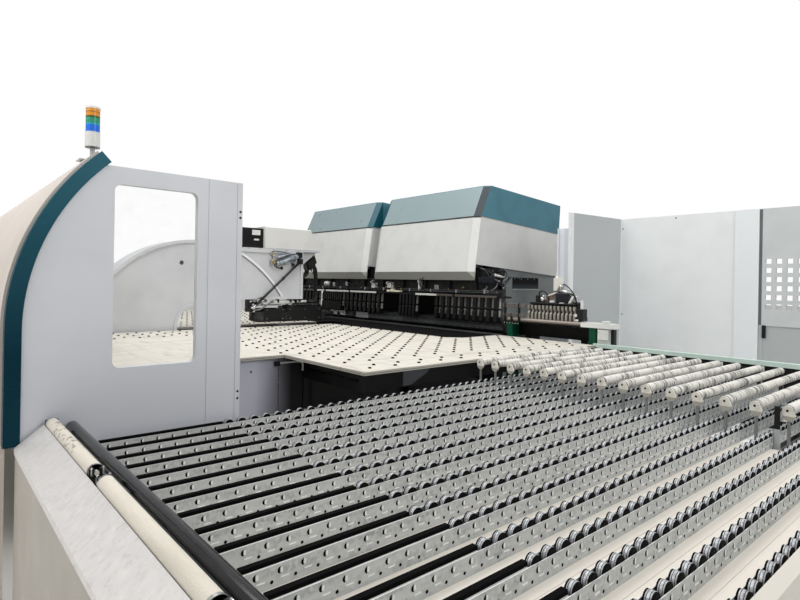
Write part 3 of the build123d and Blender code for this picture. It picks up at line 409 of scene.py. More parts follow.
def galvanised_sheet(name, colour, dark, rough=0.38, metal=0.75, edge=None):
    """Zinc-coated steel: spangle cells of about 12 mm that differ in brightness, dull streaks along
    the rail. The last argument holds the limits of a folded edge that is painted near-white as a
    painted highlight."""
    material, tree, shader, place = finish(name, {"Metallic": metal})
    cells = add(tree, "ShaderNodeTexVoronoi", {"Vector": place, "Scale": 85.0})
    tone = add(tree, "ShaderNodeSeparateColor", {"Color": cells.outputs["Color"]}).outputs["Red"]
    streaks = clouds(tree, place, 14.0, 0.35, 0.7, 4.0, (3, 0.4, 3))
    both = add(tree, "ShaderNodeMath", {0: tone, 1: streaks}, operation="MULTIPLY").outputs["Value"]
    base = blend_colours(tree, both, colour, dark)
    # Painted highlight: the folded edge in near-white.
    if edge:
        base = blend_colours(tree, region(tree, place, edge), base, "#eceeed")
    tree.links.new(base, shader.inputs["Base Color"])
    uneven_roughness(tree, shader, tone, rough - 0.06, rough + 0.12)
    relief(tree, shader, tone, 0.08, 0.0003)
    return material


def worked_steel(name, colour, dark, rough=0.34, metal=0.85, along=(0.15, 2.0, 2.0)):
    """Machined steel: fine cutter lines across the stretch, oil stains of 50 mm."""
    material, tree, shader, place = finish(name, {"Metallic": metal})
    lines = clouds(tree, place, 160.0, 0.3, 0.7, 2.0, along)
    stains = clouds(tree, place, 18.0, 0.4, 0.65, 5.0)
    both = add(tree, "ShaderNodeMath", {0: lines, 1: stains}, operation="MULTIPLY").outputs["Value"]
    tree.links.new(blend_colours(tree, both, colour, dark), shader.inputs["Base Color"])
    uneven_roughness(tree, shader, stains, rough, rough + 0.2)
    relief(tree, shader, lines, 0.12, 0.0003)
    return material


def moulded_plastic(name, colour, dark, rough=0.4, areas=(), gloss=0.5):
    """Moulded plastic: even colour, fine grain, slightly dusty patches; areas are other colours."""
    material, tree, shader, place = finish(name, {"Specular IOR Level": gloss, "Roughness": rough})
    dust = clouds(tree, place, 22.0, 0.4, 0.75, 4.0)
    base = recoloured(tree, place, blend_colours(tree, dust, colour, dark), areas)
    tree.links.new(base, shader.inputs["Base Color"])
    relief(tree, shader, clouds(tree, place, 500.0, 0.3, 0.7, 1.0), 0.12, 0.0003)
    return material


def table_plate(name):
    """Cream enamelled table plate: rubbed dull by sheets, grey scuffs along both travel directions,
    punched field of 3 mm holes at 11 mm, drawn coarser than real so that it shows, and a dull rim
    with a dark joint in it."""
    material, tree, shader, place = finish(name, {"Roughness": 0.46})
    scuff_x = clouds(tree, place, 7.0, 0.52, 0.8, 6.0, (0.35, 3.0, 1))
    scuff_y = clouds(tree, place, 6.0, 0.52, 0.8, 6.0, (3.0, 0.3, 1))
    scuffs = add(
        tree, "ShaderNodeMath", {0: scuff_x, 1: scuff_y}, operation="MAXIMUM").outputs["Value"]
    cells = add(tree, "ShaderNodeTexVoronoi", {"Vector": place, "Scale": 90.0, "Randomness": 0.0})
    holes = add(
        tree, "ShaderNodeMapRange",
        {"Value": cells.outputs["Distance"], "From Min": 0.16, "From Max": 0.24, "To Min": 0.35,
         "To Max": 0.0}).outputs["Result"]
    worn = blend_colours(tree, scuffs, "#ddd8cc", "#b3afa4")
    top = blend_colours(tree, holes, worn, "#7d786c")
    rim = recoloured(
        tree, place, top, (("#b3afa5", {"Z": (1.0, 1.0642)}), ("#5f5d57", {"Z": (1.0475, 1.0515)})))
    tree.links.new(rim, shader.inputs["Base Color"])
    relief(tree, shader, holes, 0.25, 0.0006)
    return material


def wheel_rims(name):
    """Zinc-plated wheel rim: bright, two dark lines 4.5 mm from its middle as painted shade of two
    grooves, dull worn spots of 8 mm. The wheels' middles lie half a pitch beyond the rollers."""
    material, tree, shader, place = finish(name, {"Metallic": 0.2, "Roughness": 0.36})
    worn = clouds(tree, place, 110.0, 0.42, 0.62, 3.0)
    base = blend_colours(tree, worn, "#c6c8ca", "#999b9e")
    value = add(tree, "ShaderNodeSeparateXYZ", {"Vector": place}).outputs["X"]
    for step, number in (("SUBTRACT", FIRST_ROLLER), ("DIVIDE", RAIL_PITCH), ("FRACT", 0.0),
                         ("SUBTRACT", 0.5), ("MULTIPLY", RAIL_PITCH), ("ABSOLUTE", 0.0)):
        value = add(tree, "ShaderNodeMath", {0: value, 1: number}, operation=step).outputs["Value"]
    # Painted shade of the two grooves.
    groove_shade = add(
        tree, "ShaderNodeMath", {0: value, 1: 0.0045, 2: 0.001},
        operation="COMPARE").outputs["Value"]
    tree.links.new(blend_colours(tree, groove_shade, base, "#3a3b3e"), shader.inputs["Base Color"])
    relief(tree, shader, worn, 0.1, 0.0003)
    return material


def bristles(name):
    """Nylon brush: near-black, each tuft's tips catch a little light."""
    material, tree, shader, place = finish(name, {"Roughness": 0.85, "Specular IOR Level": 0.1})
    tips = clouds(tree, place, 700.0, 0.45, 0.75, 2.0)
    tree.links.new(blend_colours(tree, tips, "#030303", "#0b0b0c"), shader.inputs["Base Color"])
    relief(tree, shader, tips, 0.8, 0.003)
    return material


def roller_sleeve(name):
    """Off-white plastic sleeve: black rubber rings and smears where sheets drag, finest lines 3 mm,
    and black bands at both ends."""
    material, tree, shader, place = finish(name, {"Roughness": 0.38})
    rings = clouds(tree, place, 22.0, 0.47, 0.6, 6.0, (0.35, 3.2, 0.35))
    smears = clouds(tree, place, 7.0, 0.4, 0.58, 4.0)
    marks = add(
        tree, "ShaderNodeMath", {0: rings, 1: smears}, operation="MULTIPLY").outputs["Value"]
    base = blend_colours(tree, marks, "#e0ddd5", "#2c2a28")
    base = recoloured(
        tree, place, base,
        [("#2a2a2b", {"Y": ends}) for ends in ((-2.06, -2.0322), (-0.4135, -0.39))])
    tree.links.new(base, shader.inputs["Base Color"])
    relief(tree, shader, rings, 0.1, 0.0003)
    return material


def felt(name):
    """Needled wool felt: matt, fibres of a few millimetres, greyed along the running line, rubbed
    on the first roller."""
    material, tree, shader, place = finish(name, {"Roughness": 0.95, "Sheen Weight": 0.3})
    fibre = clouds(tree, place, 330.0, 0.3, 0.7, 4.0)
    grey = clouds(tree, place, 8.0, 0.4, 0.7, 4.0, (0.4, 3, 3))
    base = blend_colours(tree, grey, "#e8e1d3", "#cbc4b5")
    base = blend_colours(tree, fibre, base, "#d0c8b8")
    rubs = clouds(tree, place, 60.0, 0.5, 0.68, 6.0, (0.6, 1, 1))
    worn = add(
        tree, "ShaderNodeMath", {0: rubs, 1: region(tree, place, {"X": (4.26, 4.74)})},
        operation="MULTIPLY").outputs["Value"]
    tree.links.new(blend_colours(tree, worn, base, "#7d7064"), shader.inputs["Base Color"])
    relief(tree, shader, fibre, 0.6, 0.0015)
    return material


def clear_pane(name):
    """Polycarbonate pane: clear, faint reflection, a trace of dust."""
    material, tree, shader, place = finish(name, {"Roughness": 0.05, "IOR": 1.58})
    dust = clouds(tree, place, 12.0, 0.5, 0.8, 4.0)
    tree.links.new(blend_colours(tree, dust, "#eef1f1", "#d5dada"), shader.inputs["Base Color"])
    see = add(
        tree, "ShaderNodeMapRange",
        {"Value": dust, "To Min": 0.03, "To Max": 0.06}).outputs["Result"]
    tree.links.new(see, shader.inputs["Alpha"])
    return material


LENS_STEPS = (("#6f706f", 0.074), ("#e6e6e3", 0.081), ("#2173e6", 0.159), ("#26a9c4", 0.196),
              ("#2c9a78", 0.204), ("#2f5a2c", 0.234), ("#e8962c", 0.243), ("#a9702a", 0.262),
              ("#f0a541", 0.268), ("#f1eee7", 0.282))


def lens_stack(name, foot):
    """Stacked signal lenses told apart by height above the foot: grey base, white, blue, green and
    orange modules with dark joints between them, white cap."""
    material, tree, shader, place = finish(name, {"Roughness": 0.22})
    height = add(tree, "ShaderNodeSeparateXYZ", {"Vector": place}).outputs["Z"]
    colour = "#b9bbbb"
    for above, level in LENS_STEPS:
        over = add(
            tree, "ShaderNodeMath", {0: height, 1: foot + level},
            operation="GREATER_THAN").outputs["Value"]
        colour = blend_colours(tree, over, colour, above)
    tree.links.new(colour, shader.inputs["Base Color"])
    ribs = add(tree, "ShaderNodeTexWave", {"Vector": place, "Scale": 45.0}, bands_direction="Z")
    relief(tree, shader, ribs.outputs["Fac"], 0.25, 0.0008)
    return material


# Painted shade: the wall darkens below 1.5 m to #c9ccd3 at 0.9 m and lower.
grey_wall = powder_coat(
    "light_grey_powder_coat", "#dcdfe4", "#d6d9de", 0.38,
    fades=(("#c9ccd3", "Z", 1.5, 0.9, {"Z": (0.0, 1.5)}),))
# Painted shade: the blue-grey #c3c9d1 and the darker #aeb2b4 on the side faces by the short post.
grey_fence = powder_coat(
    "fence_grey_powder_coat", "#dfe2e2", "#d9dcdc", 0.42,
    (("#c3c9d1", {"X": (3.243, 3.302), "Y": (0.4, 0.5365), "Z": (0.0, 2.4)}),
     ("#e9e6dc", {"X": (3.07, 3.2385), "Y": (0.4, 0.6), "Z": (1.62, 1.79)}),
     ("#aeb2b4", {"X": (3.26, 3.6), "Y": (0.537, 1.525)}),
     ("#dee1e3", {"X": (4.79, 5.033), "Y": (1.5, 1.56)}),))
door_grey = powder_coat(
    "door_grey_powder_coat", "#bfc3c3", "#b8bcbc", 0.42, (("#a9aeae", {"Z": (0.0, 1.285)}),))
# Painted shadow and painted highlight: the dark inner band (#8a8c90) and the light outer band
# (#e6e7e8) along the curved rib on the flank.
machine_grey = powder_coat(
    "manipulator_grey_paint", "#c2c4c7", "#b8babd", 0.38,
    (("#8a8c90", {"X": (0.17, 0.199), (-3.182, 0.501): (1.738, 1.756), "Y": (-2.33, -1.0)}),
     ("#e6e7e8", {"X": (0.17, 0.199), (-3.182, 0.501): (1.7565, 1.788), "Y": (-2.33, -1.0)})))
head_grey = powder_coat("head_cover_paint", "#d2d2cf", "#c7c7c4", 0.4)
grey_cover = powder_coat(
    "warm_grey_cover_paint", "#d2d3d1", "#c8c9c7", 0.4,
    (("#8b8c87", {"Y": (-0.06, 0.005), "Z": (1.735, 1.853)}),))
# Painted reflection: the front face is lighter (#87989b) for the glare on it. The corner chamfer
# and the inner end are darker.
teal_cover = powder_coat(
    "blue_green_cover_paint", "#4a7d8d", "#42717f", 0.32,
    (("#87989b", {"X": (0.2045, 2.1195), "Y": (-0.1, 0.262), "Z": (2.3, 3.02)}),
     ("#12282e", {"X": (2.1195, 2.2143), "Y": (-0.1, 0.32), "Z": (2.3, 3.015)}),
     ("#14505f", {"X": (0.1, 0.2045), "Y": (-0.1, 0.32), "Z": (2.3, 3.015)})))
# Painted shade: the trim darkens downwards from 2.35 m to #00303e at 1.35 m.
teal_trim = powder_coat(
    "dark_blue_green_trim_paint", "#33697a", "#2d6172", 0.3,
    fades=(("#00303e", "Z", 2.35, 1.35, {"Z": (0.5, 2.4)}),), gloss=0.12)
cream_shield = powder_coat("cream_shield_paint", "#dbd2c8", "#d4cac0", 0.42)
grey_frame = powder_coat("grey_green_frame_paint", "#828787", "#707575", 0.5)
press_paint = powder_coat(
    "press_bed_paint", "#83888a", "#707577", 0.5,
    (("#0e0f10", {"Y": (0.69, 0.71), "Z": (0.701, 1.5)}),))
# Near-black frame: its dark paint made darker as painted shade of the space under the table. The
# skirt's fade to #1d1e22 towards the rear is painted shade under the table too.
table_paint_and_shade = powder_coat(
    "dark_table_frame_paint_and_painted_shade", "#0b0b0c", "#111113", 0.5,
    (("#b4b5c1", {"X": (2.8435, 2.8505), "Y": (-5.0, -2.9)}),
     ("#3f4244", {"X": (3.9882, 3.9945), "Y": (-2.81, -2.5)})),
    (("#1d1e22", "Y", -3.42, -3.08, {"X": (2.8435, 2.8505), "Y": (-5.0, -2.9)}),), gloss=0.2)
mint_paint = powder_coat("mint_rail_paint", "#c9ddd3", "#b9cdc3", 0.42)
black_paint = powder_coat("black_motor_paint", "#0d0d0e", "#161718", 0.4, gloss=0.3)
# Painted shade: the near-black #050606 on the tray seen between the green legs.
changer_paint = powder_coat(
    "tool_changer_paint", "#7d736c", "#6a615b", 0.4,
    (("#d9dad7", {"X": (3.78, 4.16), "Z": (1.2395, 1.3)}),
     ("#b3aaa2", {"X": (2.6, 3.78), "Z": (1.272, 1.2895)}),
     ("#2b2725", {"X": (2.6, 3.78), "Z": (1.2395, 1.256)}),
     ("#8f8783", {"X": (3.99, 4.105), "Y": (-0.03, 0.1), "Z": (0.9, 1.225)}),
     ("#c3c5c3", {"X": (3.972, 4.12), "Z": (-0.1, 1.2395)}),
     ("#0a4a34", {"X": (2.7, 3.9725), "Y": (-0.03, 0.1395), "Z": (-0.1, 1.2395)}),
     ("#050606", {"X": (2.7, 3.9725), "Y": (0.1395, 0.4), "Z": (-0.1, 1.2395)})), gloss=0.15)
# Painted shade: the near-black #16171a on the frame under the rollers, and the darker #a39d92 on
# the front panel.
conveyor_paint = powder_coat(
    "conveyor_frame_paint", "#b4b8ba", "#a3a7a9", 0.45,
    (("#cdc8be", {"X": (6.654, 6.71), "Z": (0.6, 1.05)}),
     ("#16171a", {"X": (4.06, 6.655), "Y": (-2.2, -0.05), "Z": (0.0, 0.846)}),
     ("#ece5da", {"Z": (0.8463, 0.8507)}), ("#a39d92", {"Y": (-5.3, -5.186), "Z": (0.0, 0.93)})))
# Painted highlight: the near-white line along the flanges' top edges.
zinc_rail = galvanised_sheet(
    "galvanised_rail_sheet", "#c1c4c4", "#989c9c", 0.42, 0.35, {"Z": (0.9112, 0.9125)})
zinc_fascia = galvanised_sheet("galvanised_front_sheet", "#dedbd8", "#c6c3c0", 0.42, 0.3)
dark_steel = worked_steel("oiled_dark_steel", "#434445", "#1c1c1d", 0.42, 0.7)
black_steel = worked_steel("blackened_steel", "#1c1d1e", "#0c0c0d", 0.45, 0.5)
tool_steel = worked_steel("oiled_tool_steel", "#222222", "#101010", 0.36, 0.7, (2, 2, 0.2))
side_steel = worked_steel("ground_tool_side_steel", "#c3c1bd", "#83817d", 0.34, 0.3, (2, 2, 0.2))
comb_steel = worked_steel("bright_comb_steel", "#a5a199", "#5f5c56", 0.3, 0.5, (2, 2, 0.2))
cylinder_steel = worked_steel("dull_cylinder_steel", "#a4adb4", "#5b6870", 0.32, 0.6)
# Painted highlight: near-white for the embossed lips of the rail punchings, which are the rail's
# own sheet.
lip_highlight_steel = worked_steel("embossed_lip_painted_highlight", "#eceeed", "#d2d4d3", 0.4, 0.2)
bar_steel = worked_steel("dull_slide_bar_steel", "#6b6663", "#3d3936", 0.4, 0.5, (0.2, 1, 1))
blade_steel = worked_steel("ground_blade_steel", "#55585a", "#26292b", 0.36, 0.55)
bright_steel = worked_steel("polished_steel", "#c4c4c2", "#8c8c8a", 0.22, 0.95)
brass = worked_steel("brass_fitting", "#b39a5c", "#7d6a3c", 0.3, 0.9)
chrome = worked_steel("hard_chrome_rod", "#dcdcdf", "#b8b8bc", 0.12, 1.0)
wheel_tread = wheel_rims("zinc_plated_wheel_rim")
wheel_core = moulded_plastic("black_wheel_core_plastic", "#030303", "#070707", 0.7, gloss=0.1)
black_plastic = moulded_plastic("black_moulded_plastic", "#0e0e0f", "#19191b", 0.42, gloss=0.3)
# Painted shade: the front brackets' stems (#777978) and lower lobes (#a39f95) under the rollers.
white_plastic = moulded_plastic(
    "white_bracket_plastic", "#dedbd2", "#c6c2b7", 0.42,
    (("#242425", {"Y": (-0.5, -0.3)}), ("#777978", {"Y": (-2.1, -1.9), "Z": (0.7, 0.998)}),
     ("#a39f95", {"Y": (-2.1, -1.9), "Z": (0.998, 1.026)})))
grey_plastic = moulded_plastic("light_grey_box_plastic", "#d6d7d3", "#c6c7c3", 0.45)
strip_plastic = moulded_plastic(
    "lamp_strip_cover_plastic", "#c9cac6", "#b3b4b0", 0.45, (("#463f3a", {"X": (1.56, 2.7)}),))
cream_plastic = moulded_plastic("cream_sensor_plastic", "#e6dcc6", "#cfc5ae", 0.42)
blue_grey_plastic = moulded_plastic(
    "dark_blue_grey_case_plastic", "#0e1019", "#161922", 0.45, gloss=0.3)
cable_brown = moulded_plastic("brown_cable_jacket", "#8a7468", "#6b5a52", 0.4)
hose_grey = moulded_plastic("grey_hose_plastic", "#6c6e70", "#56585a", 0.4)
# Painted shade: the frame window's dark inside, on a flat block, lighter towards its sill.
window_shade_paint = powder_coat(
    "window_inside_painted_shade", "#08090a", "#101214", 0.3,
    fades=(("#3c4346", "Z", 1.72, 1.64, {"Y": (0.7, 1.45)}),), gloss=0.1)
panel_grey = powder_coat("panel_grey_paint", "#a4a8a8", "#8f9394", 0.45)
black_gloss = powder_coat("black_cylinder_paint", "#17181b", "#222327", 0.28)
strip_grey = powder_coat("dark_strip_paint", "#586060", "#4e5656", 0.42)
dark_sleeve = moulded_plastic("dark_glossy_tube_sleeve", "#151417", "#0e0d10", 0.1)
hose_rubber = moulded_plastic("black_hose_rubber", "#0d0d0e", "#19191a", 0.45, gloss=0.35)
cream_plate = table_plate("cream_enamelled_table_plate")
black_brush = bristles("black_nylon_bristles")
scuffed_sleeve = roller_sleeve("scuffed_white_roller_sleeve")
wool_felt = felt("beige_wool_felt")
pane = clear_pane("clear_polycarbonate_pane")
lenses = lens_stack("signal_lens_plastic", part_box("signal_tower")[0].z)

SURFACES = {
    grey_wall: ("end_wall_right", "end_wall_left"),
    grey_fence: ("guard_fence",),
    door_grey: ("guard_door",),
    machine_grey: ("manipulator_frame",),
    head_grey: ("manipulator_head",),
    grey_cover: ("cover_right_lower", "cover_left_lower"),
    teal_cover: ("cover_right_upper", "cover_left_upper"),
    teal_trim: ("shield_trims",),
    cream_shield: ("front_shield",),
    grey_frame: ("side_frames", "blankholder_arms"),
    press_paint: ("press_base",),
    table_paint_and_shade: ("table_frame",),
    changer_paint: ("changer_rail",),
    mint_paint: ("rear_rail",),
    black_paint: ("manipulator_motor", "lift_frame"),
    zinc_rail: ("skate_rails",),
    zinc_fascia: ("conveyor_fascia",),
    dark_steel: ("counterblade", "blade_carrier", "upper_gripper", "lower_gripper"),
    black_steel: ("blankholder_beam", "tool_carriage"),
    tool_steel: ("blankholder_tools",),
    blade_steel: ("bending_blades",),
    comb_steel: ("tool_comb",),
    chrome: ("clamp_ram",),
    black_plastic: ("felt_roller_blocks",),
    white_plastic: ("roller_brackets",),
    dark_sleeve: ("front_tube",),
    cream_plate: ("table_tops",),
    black_brush: ("black_brushes",),
    wool_felt: ("felt_roller_1", "felt_roller_2", "felt_roller_3"),
    pane: ("window_panes",),
    conveyor_paint: ("conveyor_frame",),
    lenses: ("signal_tower",),
    wheel_core: ("wheel_rows",),
    scuffed_sleeve: tuple(n for n in nodes if n.startswith("bed_roller_")),
}
for material, names in SURFACES.items():
    for name in names:
        nodes[name].data.materials.clear()
        nodes[name].data.materials.append(material)

photo_camera()


# Conveyor: skate wheels in every rail, punched marks, pan seams

ROW = np.arange(17)
RAIL_X = FIRST_RAIL + RAIL_PITCH * ROW
STAGGER = WHEEL_PITCH / 2 * (ROW % 2)
STRIP_END = -4.262 + STAGGER
FIRST_WHEEL = STRIP_END + 0.034
LAST_WHEEL = -0.175


def skate_wheels():
    """Wheels at 75 mm pitch; a wheel is a turned tread around a black core with a bright axle."""
    spots = [np.stack([np.full(n, x), y0 + WHEEL_PITCH * np.arange(n), np.full(n, WHEEL_LEVEL)], 1)
             for x, y0 in zip(RAIL_X, FIRST_WHEEL) for n in [int((LAST_WHEEL - y0) / WHEEL_PITCH)]]
    spots = np.vstack(spots)
    tread = turned(
        [(0.0226, -0.0095), (0.024, -0.008), (0.0236, 0.0), (0.024, 0.008), (0.0226, 0.0095)],
        OUT_RIGHT, 14)
    core = turned(
        [(0.02, -0.015), (0.0233, -0.0138), (0.0233, 0.0138), (0.02, 0.015)], OUT_RIGHT, 14)
    axle = turned([(0.004, -0.0165), (0.004, 0.0165)], OUT_RIGHT, 6)
    wheels = piece("skate_wheel_treads", copies(tread, spots), wheel_tread, smooth=True)
    piece("skate_wheel_cores", copies(core, spots), wheel_core)
    piece("skate_wheel_axles", copies(axle, spots), bright_steel)
    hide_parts("wheel_rows")


def rail_marks():
    """On both faces of each rail at wheel pitch: a crescent slit with a raised lip, an embossed
    dash and a round hole. Slit and hole are flat black shapes, painted shade for the dark inside
    them; lip and dash are near-white, a painted highlight. The crescent lies between two arcs of
    one height and different depth."""
    a = np.linspace(math.radians(100), math.radians(260), 7)
    outer = np.stack([np.cos(a) * 0.011, np.sin(a) * 0.0104], 1)
    inner = np.stack([np.cos(a) * 0.0025, np.sin(a) * 0.009], 1)
    crescent = np.column_stack([np.zeros(14), np.concatenate([inner, outer])])
    b = np.arange(8) * 2 * np.pi / 8
    disc = np.stack([np.zeros(8), np.cos(b) * 0.0055, np.sin(b) * 0.0055], 1)
    fan = np.stack([np.zeros(6, int), np.arange(1, 7), np.arange(2, 8)], 1)
    strip = quads(2, 7)
    y0 = np.arange(-4.83, -0.16, WHEEL_PITCH)
    x, y = (m.ravel() for m in np.meshgrid(RAIL_X, y0, indexing="ij"))
    base = np.stack([x, y + np.repeat(STAGGER, len(y0)), np.zeros(len(x))], 1)
    dark, lips = [], []
    for side in (-1, 1):
        face = side * (RAIL_HALF + 0.0004)
        slit = (crescent, [strip if side > 0 else strip[:, ::-1]])
        hole = (disc, [fan if side > 0 else fan[:, ::-1]])
        dark.append(copies(slit, base + (face, 0, 0.893)))
        dark.append(copies(hole, base + (face, 0.047, 0.8668)))
        for along, level, wide, tall in (
                (-0.001, 0.886, 0.007, 0.014), (0.001, 0.8712, 0.025, 0.0046)):
            low = base + (side * RAIL_HALF - 0.0009, along, level)
            lips.append(boxes(low, low + (0.0018, wide, tall)))
    # Black slits and holes: painted shade; near-white lips and dashes: painted highlight.
    piece("rail_punch_shade_marks", joined(*dark), wheel_core)
    piece("rail_punch_lips", joined(*lips), lip_highlight_steel)


def rail_liners():
    """Light strip between each brush and the rail's right flange."""
    low = np.stack([RAIL_X + 0.0055, np.full(17, -4.868), np.full(17, 0.8525)], 1)
    high = np.stack([RAIL_X + 0.0165, STRIP_END - 0.004, np.full(17, 0.9075)], 1)
    piece("rail_liners", boxes(low, high), grey_plastic)


def pan_seams():
    """Two narrow laps in the pan between each pair of rails."""
    x = ((RAIL_X[:-1] + RAIL_PITCH / 2)[:, None] + np.array([-0.018, 0.024])).ravel()
    low = np.stack([x - 0.0012, np.full(len(x), -4.945), np.full(len(x), 0.8502)], 1)
    high = np.stack([x + 0.0012, np.full(len(x), -2.105), np.full(len(x), 0.8512)], 1)
    piece("pan_seams", boxes(low, high), cream_shield)


def conveyor_trim():
    """Rings at both ends of each felt roller, and a dark plate under the mint rail."""
    for number, (x0, x1) in enumerate(((4.17, 4.98), (5.11, 6.0), (6.15, 6.65)), 1):
        ring = turned([(0.0266, 0.0), (0.0266, 0.012)], OUT_RIGHT, 20)
        piece(
            f"felt_end_rings_{number}",
            copies(ring, [(x0, -5.063, 1.035), (x1 - 0.012, -5.063, 1.035)]), bright_steel,
            f"felt_roller_{number}")
    piece(
        "rear_backing_plate", boxes([(4.062, -0.052, 0.852)], [(6.655, -0.046, 1.04)]),
        black_plastic)


skate_wheels()
rail_marks()
rail_liners()
pan_seams()
conveyor_trim()


# Worktable: brush tufts in a staggered pattern

TUFT_PITCH = 0.2225
TUFT_ROWS = np.arange(-4.86, -0.12, 0.12225)


def table_tufts():
    """Domes of 28 mm at 0.2225 m along X and 0.12225 m along Y on both halves of the table, every
    other row moved by half a pitch; none in the notch, the brush field, the outer front or on the
    seam."""
    columns = np.arange(0, 17) * TUFT_PITCH
    dots = []
    for side in (-1, 1):
        for k, y in enumerate(TUFT_ROWS):
            inner = 0.336 + 0.111 * (k % 2) + columns
            inner = inner[inner < 3.67]
            x = np.append(inner, 3.88 if k % 2 else 3.77)
            dots.append(np.stack([side * x, np.full(len(x), y), np.full(len(x), 1.0648)], 1))
    dots = np.vstack(dots)
    x, y = np.abs(dots[:, 0]), dots[:, 1]
    notch = (x > 2.85) & (y < -3.13)
    brush_field = (x < 2.73) & (y > -0.92)
    outer_front = (x > 1.0) & (y < -3.2)
    seam = np.abs(x - 1.35) <= 0.03
    keep = ~(notch | brush_field | outer_front | seam)
    dome = turned([(0.013, 0.0), (0.0145, 0.004), (0.0095, 0.0095)], (0, 0, 1), 8)
    piece("table_brush_tufts", copies(dome, dots[keep]), black_brush)


table_tufts()


# Manipulator: cylinders, valves, hoses and lamp boxes

def manipulator_cylinders():
    """Long black cylinder slanting down the right flank with its bright rod, two silver cylinders
    above it, their clevises, and the foot with its hoses. A cylinder is a round bar between two
    points with a wider collar at its ends."""
    bar_piece(
        "long_cylinder", black_gloss, "manipulator",
        (0.224, -1.44, 1.966, 0.224, -2.09, 1.379, 0.017),
        (0.224, -1.425, 1.98, 0.224, -1.462, 1.946, 0.025),
        (0.224, -2.06, 1.406, 0.224, -2.1, 1.37, 0.021),
        (0.224, -1.7, 1.731, 0.224, -1.722, 1.711, 0.022))
    bar_piece(
        "long_cylinder_rod", chrome, "manipulator",
        (0.224, -2.09, 1.379, 0.224, -2.19, 1.289, 0.01))
    bar_piece(
        "short_cylinders", cylinder_steel, "manipulator",
        (0.223, -1.79, 1.925, 0.223, -1.5, 2.034, 0.032),
        (0.223, -1.8, 2.005, 0.223, -1.6, 2.064, 0.019),
        (0.223, -1.815, 1.916, 0.223, -1.78, 1.929, 0.038),
        (0.223, -1.53, 2.022, 0.223, -1.49, 2.037, 0.037),
        (0.208, -1.69, 1.918, 0.208, -1.52, 1.975, 0.013))
    block_piece(
        "cylinder_clevises", black_paint, "manipulator", 0.005,
        (0.18, -1.505, 2.015, 0.252, -1.425, 2.092), (0.18, -1.47, 1.925, 0.252, -1.415, 2.002),
        (0.18, -1.735, 1.845, 0.198, -1.7, 1.885), (0.18, -1.565, 1.895, 0.235, -1.54, 1.935))
    block_piece(
        "cylinder_foot", black_paint, "manipulator", 0.006,
        (0.1, -2.215, 1.335, 0.19, -2.08, 1.434), (0.19, -2.215, 1.268, 0.25, -2.165, 1.312),
        (0.1, -2.215, 1.268, 0.19, -2.165, 1.34))
    hose_piece(
        "foot_hose", hose_grey, "manipulator",
        (0.011, (0.2, -2.15, 1.29), (0.235, -2.06, 1.3), (0.225, -1.96, 1.352),
         (0.19, -1.88, 1.385), (0.17, -1.835, 1.398)),
        (0.008, (0.18, -2.2, 1.4), (0.225, -2.13, 1.42), (0.222, -2.06, 1.452),
         (0.19, -2.01, 1.462), (0.18, -1.99, 1.462)))
    bar_piece(
        "foot_fittings", bright_steel, "manipulator",
        (0.19, -2.12, 1.41, 0.215, -2.12, 1.41, 0.016),
        (0.19, -2.14, 1.36, 0.212, -2.14, 1.36, 0.018),
        (0.16, -2.03, 1.405, 0.16, -1.93, 1.414, 0.021),
        (0.16, -2.08, 1.352, 0.17, -1.99, 1.372, 0.016),
        (0.19, -2.182, 1.405, 0.216, -2.182, 1.405, 0.012))


def manipulator_valves():
    """Valve block on the flank with brass unions, the hoses that join it to the cylinders, and the
    light tube under the arm on its hangers."""
    block_piece(
        "valve_block", bright_steel, "manipulator", 0.004,
        (0.18, -1.905, 1.905, 0.236, -1.845, 1.975), (0.18, -1.87, 1.975, 0.222, -1.835, 2.04))
    bar_piece(
        "brass_unions", brass, "manipulator", (0.215, -1.888, 2.03, 0.215, -1.888, 2.078, 0.012),
        (0.236, -1.89, 1.952, 0.258, -1.89, 1.952, 0.015),
        (0.236, -1.862, 1.925, 0.262, -1.862, 1.925, 0.013),
        (0.205, -1.845, 1.955, 0.205, -1.812, 1.955, 0.012))
    hose_piece(
        "valve_hoses", hose_rubber, "manipulator",
        (0.007, (0.222, -1.862, 1.925), (0.248, -1.845, 1.882), (0.244, -1.79, 1.862),
         (0.225, -1.75, 1.872), (0.198, -1.717, 1.88)),
        (0.006, (0.215, -1.888, 2.07), (0.225, -1.86, 2.092), (0.232, -1.78, 2.088),
         (0.226, -1.7, 2.082), (0.222, -1.61, 2.07)),
        (0.006, (0.252, -1.46, 2.05), (0.268, -1.56, 2.062), (0.262, -1.66, 2.04),
         (0.24, -1.76, 1.992), (0.236, -1.85, 1.96)))
    bar_piece(
        "underarm_tube", grey_plastic, "manipulator",
        (0.16, -1.83, 1.398, 0.16, -1.53, 1.392, 0.026),
        (0.16, -1.86, 1.399, 0.16, -1.83, 1.398, 0.018),
        (0.16, -1.53, 1.392, 0.16, -1.5, 1.391, 0.016),
        (0.155, -1.445, 1.398, 0.155, -1.3, 1.4, 0.016))
    block_piece(
        "underarm_hangers", black_paint, "manipulator", 0.003,
        (0.125, -1.775, 1.385, 0.195, -1.75, 1.434), (0.125, -1.58, 1.385, 0.195, -1.555, 1.434),
        (0.13, -1.435, 1.39, 0.18, -1.4, 1.434))


